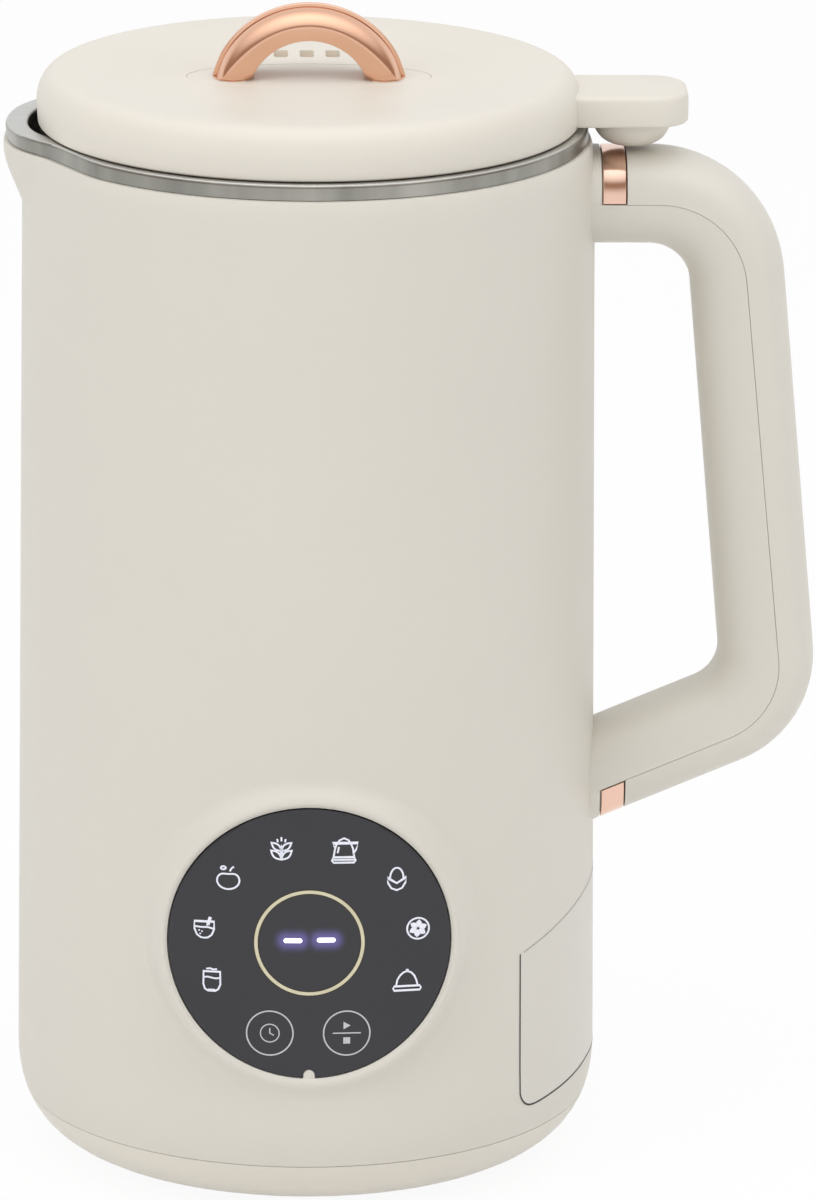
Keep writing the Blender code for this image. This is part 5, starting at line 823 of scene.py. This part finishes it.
def filled(outline, place=on_panel):
    """A filled shape as a fan round its middle."""
    count = len(outline)
    middle = (sum(x for x, _ in outline) / count, sum(z for _, z in outline) / count)
    points = [place(*middle)] + [place(x, z) for x, z in outline]
    return points, [(0, 1 + index, 1 + (index + 1) % count) for index in range(count)]


def petal(start, end, width, steps=8):
    """An almond between two points."""
    start, end = Vector(start), Vector(end)
    side = Vector((start.y - end.y, end.x - start.x)).normalized() * width / 2
    shares = [step / steps for step in range(steps)]
    there = [start.lerp(end, share) + side * math.sin(math.pi * share) for share in shares]
    back = [end.lerp(start, share) - side * math.sin(math.pi * share) for share in shares]
    return [tuple(spot) for spot in there + back]


def lay_on(name, lots, finish, slot):
    """Seat a thin print on the jug, with faces that look outwards."""
    print_piece = build(name, together(*lots), sharp=35.0, weld=0.0)
    for polygon in print_piece.data.polygons:
        outwards = Vector((polygon.center.x - AXIS_X, polygon.center.y - AXIS_Y, 0.0))
        if polygon.normal.dot(outwards) < 0:
            polygon.flip()
    return seat(print_piece, finish, "jug", slot)


print("the print stands", PRINT_LIFT, "mm off the face")

# %% [markdown]
# The pictograms are plain drawings of what the machine makes: grain, hot water, fruit, corn, a bowl, ice,
# a jar, a cloche. Each is a row in a table: its place on the panel, its open lines, its closed lines and
# its filled shapes. The lines are about 0.4 mm wide.

# %% Pictograms
LINE = 0.41
GRAIN_LEAVES = [petal((0, low), (reach * side, high), width) for side in (-1, 1)
                for low, reach, high, width in ((-0.5, 2.2, 1.4, 1.25), (-2.5, 2.3, -0.4, 1.35))]
APPLE = [(x, z - 0.55 * max(0.0, z / 2.05) ** 6) for x, z in oval(0.0, 0.0, 2.5, 2.05, 40)]
ICE_TURNS = [math.tau * step / 6 for step in range(6)]
PICTOGRAMS = [
    (-6.33, 22.3,
     [[(0.8, 1.55), (0.95, 2.3)], [(-0.8, 1.55), (-0.95, 2.3)], [(0, 1.75), (0, 2.75)]],
     GRAIN_LEAVES, [petal((0, -2.6), (0, 1.1), 0.75)]),
    (7.7, 21.8,
     [[(-2.4, -1.45), (-2.1, 0.4), (-1.75, 1.5), (-1.1, 2.45), (-0.1, 2.95), (0.9, 2.5), (1.5, 1.6),
       (1.95, 0.4), (2.2, -1.45)],
      [(-1.75, 0.9), (-2.15, 0.95), (-2.75, 1.8), (3.05, 1.8), (2.6, 0.2), (1.95, -0.8)],
      [(-1.2, 0.95), (-1.5, -0.5)], [(-2.6, -2.1), (2.4, -2.1)]],
     [[(-2.5, -1.5), (2.3, -1.5), (2.5, -2.3), (2.2, -2.75), (-2.4, -2.75), (-2.75, -2.3)]], []),
    (-18.16, 14.6, [[(0.35, 2.15), (0.75, 2.85), (1.25, 3.25)]],
     [APPLE, oval(-1.1, 2.9, 0.55, 0.36, 20)], []),
    (19.45, 14.87, [arc(0, 0.2, 1.5, 2.4, -10, 190, 24)],
     [[(-2.15, 0.35), (0, -1.0), (2.15, 0.35), (1.95, -0.9), (1.2, -2.15), (0, -2.65), (-1.2, -2.15),
       (-1.95, -0.9)]], []),
    (-23.5, 3.37,
     [[(-2.1, 0.15), (-0.7, 0.0), (0.8, 0.05), (2.1, -0.3)],
      [(0.6, 0.4), (1.2, 2.5)], [(0.95, 0.5), (1.5, 2.4)]],
     [[(-2.2, 1.35), (2.2, 1.35), (2.2, -0.4), (1.65, -1.75), (0.8, -2.4), (0, -2.5), (-0.8, -2.4),
       (-1.65, -1.75), (-2.2, -0.4)]],
     [oval(x, z, 0.2, 0.2, 12) for x, z in ((-1.15, -0.75), (-0.5, -1.0), (-0.9, -1.55))]),
    (24.3, 3.0, [], [oval(0, 0, 2.45, 2.45, 40)],
     [petal((0.25 * math.cos(turn), 0.25 * math.sin(turn)),
            (2.1 * math.cos(turn + 0.4), 2.1 * math.sin(turn + 0.4)), 1.35) for turn in ICE_TURNS]),
    (-21.85, -9.0,
     [[(-1.8, 0.6), (-0.9, 0.75), (0.0, 0.55), (0.9, 0.4), (1.9, 0.55)],
      [(-1.2, 2.6), (-0.4, 2.75), (0.4, 2.5), (1.2, 2.6)], [(-0.8, -2.3), (0.8, -2.3)]],
     [[(-1.8, 2.0), (1.9, 2.0), (1.95, -1.0), (1.5, -2.1), (0.8, -2.55), (-0.8, -2.55), (-1.5, -2.1),
       (-1.85, -1.0)]], []),
    (21.8, -9.16,
     [[(-2.35, -1.3), (-2.1, 0.2), (-1.5, 1.2), (-0.7, 1.95), (0.15, 2.2), (1.0, 1.9), (1.7, 1.15),
       (2.2, 0.0), (2.5, -1.3)]],
     [[(-2.8, -1.3), (3.0, -1.3), (3.2, -1.8), (3.0, -2.3), (-2.8, -2.3), (-3.0, -1.8)]],
     [oval(0.15, 2.45, 0.35, 0.3, 12)]),
]
print_white = finish("print white", (0.86, 0.87, 0.95), (0.80, 0.81, 0.92), 0.5, 300.0)
lots = []
for x, z, opened, closed, solid in PICTOGRAMS:
    opened, closed, solid = ([[(px + x, pz + z) for px, pz in line] for line in lines]
                             for lines in (opened, closed, solid))
    lots += [ribbon(line, LINE) for line in opened] + [ribbon(line, LINE, True) for line in closed]
    lots += [filled(outline) for outline in solid]
lay_on("panel_print", lots, print_white, "lamp")

# %% [markdown]
# Under the pictograms lie the two touch keys, a ring each. They are places on the smoked plate and have
# no travel. One has a clock for the delayed start, the other a start and a stop mark with a rule between.

# %% Touch keys
KEY_LEFT, KEY_RIGHT, KEY_Z = -8.82, 8.43, -21.1
lots = [ribbon(oval(x, KEY_Z, 5.2, 5.2, 60), 0.32, True) for x in (KEY_LEFT, KEY_RIGHT)]
lots += [ribbon(oval(KEY_LEFT, KEY_Z, 2.1, 2.1, 30), 0.26, True),
         ribbon([(KEY_LEFT, -19.9), (KEY_LEFT, KEY_Z), (-7.9, -21.6)], 0.26),
         ribbon([(5.3, KEY_Z), (11.6, KEY_Z)], 0.28),
         filled([(7.7, -18.4), (7.7, -20.2), (9.3, -19.3)]),
         filled([(7.65, -22.1), (9.2, -22.1), (9.2, -23.6), (7.65, -23.6)])]
print_grey = finish("print grey", (0.58, 0.58, 0.59), (0.52, 0.52, 0.54), 0.5, 300.0)
lay_on("touch_key_print", lots, print_grey, "lamp")

# %% [markdown]
# A pale gold ring frames the display. It is a printed band with a thin brown edge on both sides.

# %% Gold ring and dashes
print_gold = finish("print gold", (0.68, 0.63, 0.45), (0.61, 0.56, 0.39), 0.42, 120.0)
print_brown = finish("print brown", (0.040, 0.026, 0.010), (0.032, 0.020, 0.008), 0.5, 120.0)
ring_line = oval(0.0, 0.22, 11.97, 11.97, 120)
lay_on("display_ring_edge", [ribbon(ring_line, 1.24, True, lambda x, z: on_panel(x, z, PRINT_LIFT / 2))],
       print_brown, "rose_gold")
lay_on("display_ring", [ribbon(ring_line, 0.76, True)], print_gold, "rose_gold")
bars = [filled(arc(x + DASH_RUN, z, DASH_ROUND, DASH_ROUND, -90, 90, 12)
               + arc(x - DASH_RUN, z, DASH_ROUND, DASH_ROUND, 90, 270, 12)) for x, z in DASHES]
lit_bars = finish("lit bars", (0.9, 0.9, 1.0), (0.85, 0.85, 0.98), 0.5, 400.0, Emission_Strength=1.0,
                  Emission_Color=(0.95, 0.92, 1.0, 1.0))
lay_on("display_dashes", bars, lit_bars, "lamp")

# %% [markdown]
# Low on the side, under the handle, a clear film lies on the wall. It follows the wall's round, its lower
# corners are round too, and a printed frame line runs down its edges and along its foot.

# %% Side film
FILM_LEFT = 46.0
FILM_TOP = 57.6
FILM_CORNER = 4.6
FILM_STEPS = 24


def film_low(azimuth):
    """Height of the film's foot at an azimuth from the front."""
    side = min(azimuth, 180.0 - azimuth)
    inside = math.radians(side - FILM_LEFT) * WALL_RADIUS
    lift = FILM_CORNER - math.sqrt(max(0.0, FILM_CORNER ** 2 - max(0.0, FILM_CORNER - inside) ** 2))
    return 20.3 + 2.6 * held((side - 52.0) / 24.0) + lift


def film_high(azimuth):
    """Height of the film's top at an azimuth from the front."""
    side = min(azimuth, 180.0 - azimuth)
    return FILM_TOP + 8.0 * math.sin(math.radians(min(90.0, (side - FILM_LEFT) * 2.05)))


def on_wall(azimuth, height, lift=PRINT_LIFT):
    """A place on the housing's wall, from an azimuth off the front and a height."""
    turn = math.radians(azimuth)
    reach = body_radius(height) + lift
    return (reach * math.sin(turn), -reach * math.cos(turn), height)


def wall_line(line, width):
    """A printed line on the wall, given by azimuth and height."""
    return ribbon([(math.radians(azimuth) * WALL_RADIUS, height) for azimuth, height in line], width, False,
                  lambda across, height: on_wall(math.degrees(across / WALL_RADIUS), height))


near_edge = [FILM_LEFT + share for share in (0.0, 0.1, 0.3, 0.6, 1.0, 1.5, 2.2, 3.0, 4.0)]
azimuths = near_edge + [50.0 + 80.0 * step / 60 for step in range(1, 60)]
azimuths += [180.0 - azimuth for azimuth in reversed(near_edge)]
film_points = []
for azimuth in azimuths:
    low, high = film_low(azimuth), film_high(azimuth)
    film_points += [on_wall(azimuth, low + (high - low) * step / FILM_STEPS, 0.03)
                    for step in range(FILM_STEPS + 1)]
row_starts = [row * (FILM_STEPS + 1) for row in range(len(azimuths))]
film_faces = [(this + step, after + step, after + step + 1, this + step + 1)
              for this, after in zip(row_starts, row_starts[1:]) for step in range(FILM_STEPS)]
clear_film = finish("clear film", (0.680, 0.650, 0.590), (0.668, 0.640, 0.582), 0.36, bump=0.004)
lay_on("side_film", [(film_points, film_faces)], clear_film, "cream")

near_line = [(FILM_LEFT + 0.35, FILM_TOP - 1.5 * step) for step in range(19)]
near_line += [(azimuth + 0.35, film_low(azimuth) + 0.25) for azimuth in near_edge[1:]]
foot_line = [(azimuth, film_low(azimuth) + 0.25) for azimuth in azimuths[9:-9]]
far_line = [(180.0 - azimuth, height) for azimuth, height in reversed(near_line)]
top_line = [(azimuth, film_high(azimuth) - 0.3) for azimuth in azimuths[5:-5]]
print_frame = finish("print dark grey", (0.028, 0.027, 0.025), (0.040, 0.038, 0.036), 0.5, 200.0)
lay_on("side_film_frame", [wall_line(near_line + foot_line + far_line, 0.46), wall_line(top_line, 0.12)],
       print_frame, "black")

# %% [markdown]
# The lid. Its side leans out to a rounded shoulder and a flat rim, from which the top dishes down to
# a flat middle. The arm over the handle is part of the same moulding, so both are fused, and one cut
# makes the steam slots and the recess for the oval plate.

# %% Lid cover skin
LID = 240.55
LID_TOP = 252.0
LID_SHOULDER = 245.22
LID_COLUMNS = 192
FLAT_RADIUS = 31.0
ARM_LEVELS = [(241.3, 0.8), (241.4, 0.45), (241.65, 0.18), (242.1, 0.05), (245.0, 0.0), (247.1, 0.06),
              (247.65, 0.2), (248.0, 0.45), (248.24, 0.8), (248.35, 1.3)]


def lid_profile(inset):
    """The lid's section from its foot to its flat middle, drawn in by the wall's thickness."""
    top = 56.7 - inset
    section = [(61.0 - inset, LID), (61.3 - inset, LID_SHOULDER)]
    section += arc(top, LID_SHOULDER, 4.6, LID_TOP - LID_SHOULDER - inset, 0, 90, 14)[1:]
    for share in (step / 12 for step in range(1, 13)):
        section.append((top + (FLAT_RADIUS - top) * share,
                        LID_TOP - inset - 1.5 * (1 - math.cos(math.pi * share)) / 2))
    return section


def arm_outline(inset):
    """The arm's plan outline at an inset from its sides."""
    half, corner, reach = 12.3 - inset, 8.6 - inset, 85.4 - inset
    middle = reach - corner
    return [(58.0, -half), *arc(middle, corner - half, corner, corner, -90, 0, 12),
            *arc(middle, half - corner, corner, corner, 0, 90, 12), (58.0, half)]


def oval_ring(half_length, half_width, height, steps=96):
    """An ellipse at a height."""
    return level(oval(0.0, 0.0, half_length, half_width, steps), height)


def slot_rod(x, low, high):
    """A steam slot's round-cornered prism."""
    corner, half_x, half_y = 0.8, 1.62, 3.6
    ring = []
    for side_x, side_y, start in ((1, 1, 0), (-1, 1, 90), (-1, -1, 180), (1, -1, 270)):
        ring += arc(x + side_x * (half_x - corner), 23.0 + side_y * (half_y - corner), corner, corner,
                    start, start + 90, 4)
    return skin([level(ring, height) for height in (low, high)])


inner_side = lid_profile(2.2)[::-1]
outer_side = [(60.7, LID), (61.02, LID + 0.35)] + lid_profile(0.0)[1:]
lid = build("lid_skin", skin([round_ring(*place, LID_COLUMNS) for place in inner_side + outer_side]))
combine(lid, "UNION", skin([level(arm_outline(inset), height) for height, inset in ARM_LEVELS]))
recess = skin([oval_ring(27.59, 12.59, 249.3), oval_ring(27.59, 12.59, 252.5)])
slots = [slot_rod((index - 2) * 5.9 - 0.25, 246.0, 252.5) for index in range(5)]
combine(lid, "DIFFERENCE", recess, *slots, sharp=38.0)
seat(lid, lid_cream, "lid", "lid_cream", "lid_cover")

# %% [markdown]
# On the lid's middle lies an oval plate, and on it the arch. The arch is plated metal. Each of its two
# faces is flat near the inner edge, and above a crease it swells into a leaf that narrows towards the
# feet. A thin ridge runs over the top between the two leaves. Sections across the span carry that form,
# and each foot stands on a thin oval sole.

# %% Oval plate and arch
ARCH_BASE = 250.8
ARCH_HALF = 6.0
FOOT_MIDDLE = 17.0
PLATE = [(20.0, 8.0, 249.6), (27.4, 12.4, 249.6), (27.5, 12.5, 249.7), (27.5, 12.5, 250.35),
         (27.44, 12.44, 250.47), (27.3, 12.3, 250.5), (20.0, 8.0, 250.5)]
SOLE = [(0.5, 250.45), (0.97, 250.46), (1.0, 250.54), (0.995, 250.7), (0.96, 250.8), (0.5, 250.82)]
plate = build("arch_plate", skin([oval_ring(*place) for place in PLATE]))
seat(plate, lid_cream, "lid", "lid_cream", "handle_plate")


def arch_section(share):
    """One section of the arch at a share of the way over, from its inner edge over the ridge and back."""
    cosine, sine = math.cos(math.pi * share), math.sin(math.pi * share)
    inner = Vector((-12.7 * cosine, 9.0 * sine ** 1.3))
    crease = Vector((-19.9 * cosine, 12.4 * (1 - abs(cosine) ** 2.1)))
    shoulder = Vector((-20.5 * cosine, 15.9 * sine ** 1.2))
    outer = Vector((-21.3 * cosine, 16.6 * sine ** 1.2))
    foot = max(0.0, 1 - outer.y / 4.5) ** 2
    flare = 0.09 * max(0.0, 1 - outer.y / 3.6) ** 2
    width = (outer - inner).length
    inward = (outer - inner).normalized()
    front = []

    def add(spot, depth):
        across = abs(2 * (spot - inner).length / width - 1)
        spread = (spot.x - math.copysign(FOOT_MIDDLE, spot.x)) * flare
        front.append((spot.x + spread, depth * (1 - 0.5 * foot * across ** 2.6), spot.y))

    add(inner, -ARCH_HALF + 0.3)
    add(inner + inward * 0.09, -ARCH_HALF + 0.09)
    for step in range(7):
        add((inner + inward * 0.3).lerp(crease, step / 6), -ARCH_HALF)
    low, high = math.radians(19.0), math.radians(82.0)
    for step in range(1, 17):
        lean = low + (high - low) * step / 16
        rise = (math.sin(lean) - math.sin(low)) / (math.sin(high) - math.sin(low))
        back = (math.cos(low) - math.cos(lean)) / (math.cos(low) - math.cos(high))
        add(crease.lerp(shoulder, rise), -ARCH_HALF + (ARCH_HALF - 1.0) * back)
    for spot, depth in ((shoulder - inward * 0.22, -0.92), (shoulder - inward * 0.22, -0.78),
                        (outer - inward * 0.12, -0.72), (outer, -0.55)):
        add(spot, depth)
    section = front + [(x, -y, z) for x, y, z in reversed(front)]
    return [(x, y, ARCH_BASE + z) for x, y, z in section]


soles = [skin([level(oval(middle, 0.0, 4.7 * grow, 6.25 * grow, 64), height) for grow, height in SOLE])
         for middle in (-FOOT_MIDDLE, FOOT_MIDDLE)]
span = skin([arch_section(step / 96) for step in range(97)])
arch = build("lid_arch", together(span, *soles), sharp=33.0)
seat(arch, rose_gold, "lid", "rose_gold", "lid_handle")

# %% [markdown]
# Under the arm a shallow dome holds the lid's magnet. It rests just over the handle.

# %% Magnet dome
DOME_X, DOME_RADIUS, DOME_LOW, DOME_TOP = 72.85, 8.8, 235.3, 241.0
foot = DOME_RADIUS * 0.35
profile = arc(foot, DOME_TOP, DOME_RADIUS - foot, DOME_TOP - DOME_LOW, -90, 0, 14)
profile += [(DOME_RADIUS, 241.4), (4.9, 241.4), (4.9, 237.7)]
rings = [level(oval(DOME_X, 0.0, radius, radius, 96), height) for radius, height in profile]
dome = build("magnet_dome", skin(rings))
seat(dome, lid_cream, "lid", "lid_cream", "magnet_cap")

# %% [markdown]
# The handle. Three rails in one plane say where its outer edge, its seam and its inner edge run. At
# every station a half superellipse spans from the seam to an edge, so the two halves of the handle
# meet in a fine seam, and each half is a channel with its own wall.

# %% Handle rails
def rounded_rail(corners, radii, corner_steps=20, run_steps=12):
    """A rail of straight runs with an arc at each of its two corners."""
    stations = [Vector(corners[0])]
    for index, radius in enumerate(radii):
        before, corner, after = (Vector(point) for point in corners[index:index + 3])
        into, out = (corner - before).normalized(), (after - corner).normalized()
        bend = into.angle(out)
        start = corner - into * radius * math.tan(bend / 2)
        side = (out - into * into.dot(out)).normalized()
        centre = start + side * radius
        if index:
            last = stations[-1]
            stations += [last.lerp(start, step / (run_steps + 1)) for step in range(1, run_steps + 1)]
        for step in range(corner_steps + 1):
            turn = bend * step / corner_steps
            stations.append(centre + (into * math.sin(turn) - side * math.cos(turn)) * radius)
    return stations + [Vector(corners[-1])]


outer_rail = rounded_rail([(62.0, 234.2), (105.2, 234.2), (117.8, 98.7), (62.0, 75.0)], (30.6, 26.6))
seam_rail = rounded_rail([(62.0, 223.85), (96.9, 223.85), (108.8, 103.8), (62.0, 83.9)], (20.0, 18.0))
inner_rail = rounded_rail([(62.0, 212.95), (85.6, 212.95), (94.8, 111.4), (62.0, 97.5)], (10.0, 9.0))
print("stations along the handle:", len(seam_rail))

# %% Handle sections
HALF_WIDTH = 13.0
ROUNDNESS = 2 / 2.6
HANDLE_WALL = 2.2
TRIM_WIDTH = 5.2
# The rails' first and last station, each with the slope of its arm.
ENDS = {0: 0.0, -1: math.tan(math.radians(23.0))}


def half_section(seam, edge, inset, lift=0.0, steps=26):
    """Half a superellipse from the seam towards an edge rail, drawn in by an inset."""
    aim = (edge - seam).normalized()
    depth = (edge - seam).length - inset
    points = []
    for cosine, sine in arc(0.0, 0.0, 1.0, 1.0, 0, 180, steps):
        across = (HALF_WIDTH - inset) * math.copysign(abs(cosine) ** ROUNDNESS, cosine)
        spot = seam + aim * (lift + (depth - lift) * abs(sine) ** ROUNDNESS)
        points.append((spot.x, across, spot.y))
    return points


def half_skins(rail):
    """The C-shaped sections of one half of the handle, along its rail."""
    return [half_section(seam, edge, 0.0, 0.05) + half_section(seam, edge, HANDLE_WALL, 0.05)[::-1]
            for seam, edge in zip(seam_rail, rail)]


def run_to(section, slope, place):
    """Slide a section along its arm to a place on X."""
    return [(place, y, z + (place - x) * slope) for x, y, z in section]


def run_to_wall(section, slope):
    """Slide a section along its arm until every point touches the housing."""
    points = []
    for x, y, z in section:
        place, height = x, z
        for _ in range(6):
            place = math.sqrt((body_radius(min(height, RIM_LOW)) - 0.25) ** 2 - y ** 2)
            height = z + (place - x) * slope
        points.append((place, y, height))
    return points


def trim_start(index):
    """Where a trim begins on X."""
    return body_radius(seam_rail[index].y) + 1.1


def end_block(index, slope):
    """The solid end of the inner half, stepped down where the trim wraps it."""
    lower = half_section(seam_rail[index], inner_rail[index], 1.0)[::-1][1:-1]
    start = trim_start(index)
    whole, broken, stepped = (half_section(seam_rail[index], outer_rail[index], inset) + lower
                              for inset in (0.0, 0.12, 1.3))
    return skin([run_to_wall(whole, slope), run_to(whole, slope, start - 0.12),
                 run_to(broken, slope, start), run_to(stepped, slope, start),
                 run_to(stepped, slope, start + 5.5)])


print("the handle is", 2 * HALF_WIDTH, "mm wide, with a wall of", HANDLE_WALL)


# %% Both halves of the handle
outer_rings, inner_rings = half_skins(outer_rail), half_skins(inner_rail)
for index, slope in ENDS.items():
    outer_rings[index] = run_to(outer_rings[index], slope, trim_start(index) + TRIM_WIDTH + 0.6)
    inner_rings[index] = run_to_wall(inner_rings[index], slope)
outer_half = build("handle_outer_skin", skin(outer_rings))
seat(outer_half, housing_cream, "jug", "cream", "handle_outer")
blocks = [end_block(index, slope) for index, slope in ENDS.items()]
inner_half = build("handle_inner_skin", together(skin(inner_rings), *blocks))
seat(inner_half, housing_cream, "jug", "cream", "handle_inner")

# %% [markdown]
# Two rose gold trims wrap the outer half where it meets the jug. Their edges are broken a little, so
# that each shows a fine bright line.

# %% Trims
TRIM_LEVELS = ((0.0, 0.2), (0.06, 0.06), (0.2, 0.0), (5.0, 0.0), (5.14, 0.06), (TRIM_WIDTH, 0.2))
for label, (index, slope) in zip(("upper", "lower"), ENDS.items()):
    seam, edge = seam_rail[index], outer_rail[index]
    hollow = half_section(seam, edge, 1.0, 0.3)[::-1]
    rings = [run_to(half_section(seam, edge, inset, 0.3) + hollow, slope, trim_start(index) + 0.3 + place)
             for place, inset in TRIM_LEVELS]
    seat(build(f"trim_{label}", skin(rings)), trim_gold_painted_reflection, "jug", "rose_gold", f"handle_trim_{label}")

# %% [markdown]
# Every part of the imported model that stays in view, or that shows when the lid is off or the jug is
# opened, gets the finish of its real material in place of the flat one it was packed with.

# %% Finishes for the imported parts
PACKED = [
    (finish("seal silicone", (0.66, 0.65, 0.61), (0.60, 0.59, 0.55), 0.58, grain=1500.0),
     "lid_liner lid_seal shaft_seal"),
    # The baffle's beige is lightened past its own tone: painted light in the shaded steam slots.
    (finish("slot beige with painted light", (0.98, 0.86, 0.70), (0.95, 0.83, 0.67), 0.55, 60.0), "steam_baffle chassis"),
    (finish("foot rubber", (0.045, 0.045, 0.044), (0.060, 0.058, 0.056), 0.82, grain=1500.0, bump=0.03),
     "foot_1 foot_2 foot_3 foot_4"),
    (finish("screw steel", (0.46, 0.46, 0.45), (0.38, 0.38, 0.38), 0.35, grain=900.0, Metallic=1.0),
     "base_screw_1 base_screw_2 base_screw_3 base_screw_4 handle_screw_upper handle_screw_lower "
     "motor_shaft blade_lower blade_upper blade_nut upper_bearing lower_bearing thermostat "
     "heating_element"),
    (finish("black plastic", (0.022, 0.022, 0.023), (0.030, 0.030, 0.031), 0.45, grain=1800.0),
     "inlet_socket cooling_fan reed_switch carbon_brush_front carbon_brush_rear power_transformer"),
    (finish("contact brass", (0.66, 0.49, 0.22), (0.58, 0.43, 0.20), 0.3, Metallic=1.0),
     "inlet_pin_live inlet_pin_neutral inlet_pin_earth touch_spring_left touch_spring_right "
     "brush_holder_front brush_holder_rear"),
    (finish("stacked iron", (0.20, 0.20, 0.205), (0.15, 0.15, 0.155), 0.5, grain=1200.0, Metallic=1.0),
     "motor_stator armature lid_magnet"),
    (finish("wound copper", (0.62, 0.26, 0.13), (0.50, 0.20, 0.10), 0.35, grain=1600.0, bump=0.06,
            Metallic=1.0),
     "field_coil_left field_coil_right commutator"),
    (finish("cast aluminium", (0.60, 0.60, 0.61), (0.52, 0.52, 0.53), 0.42, grain=1000.0, bump=0.04,
            Metallic=1.0),
     "upper_motor_bracket lower_motor_bracket"),
    (finish("board green", (0.02, 0.11, 0.05), (0.03, 0.14, 0.06), 0.4, 300.0, grain=1500.0),
     "control_board power_board"),
    (finish("display white", (0.70, 0.70, 0.78), (0.62, 0.62, 0.72), 0.4, 200.0), "digit_display"),
]
for material, names in PACKED:
    for name in names.split():
        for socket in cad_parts[name].material_slots:
            socket.material = material
    print(f"{material.name}: {names}")
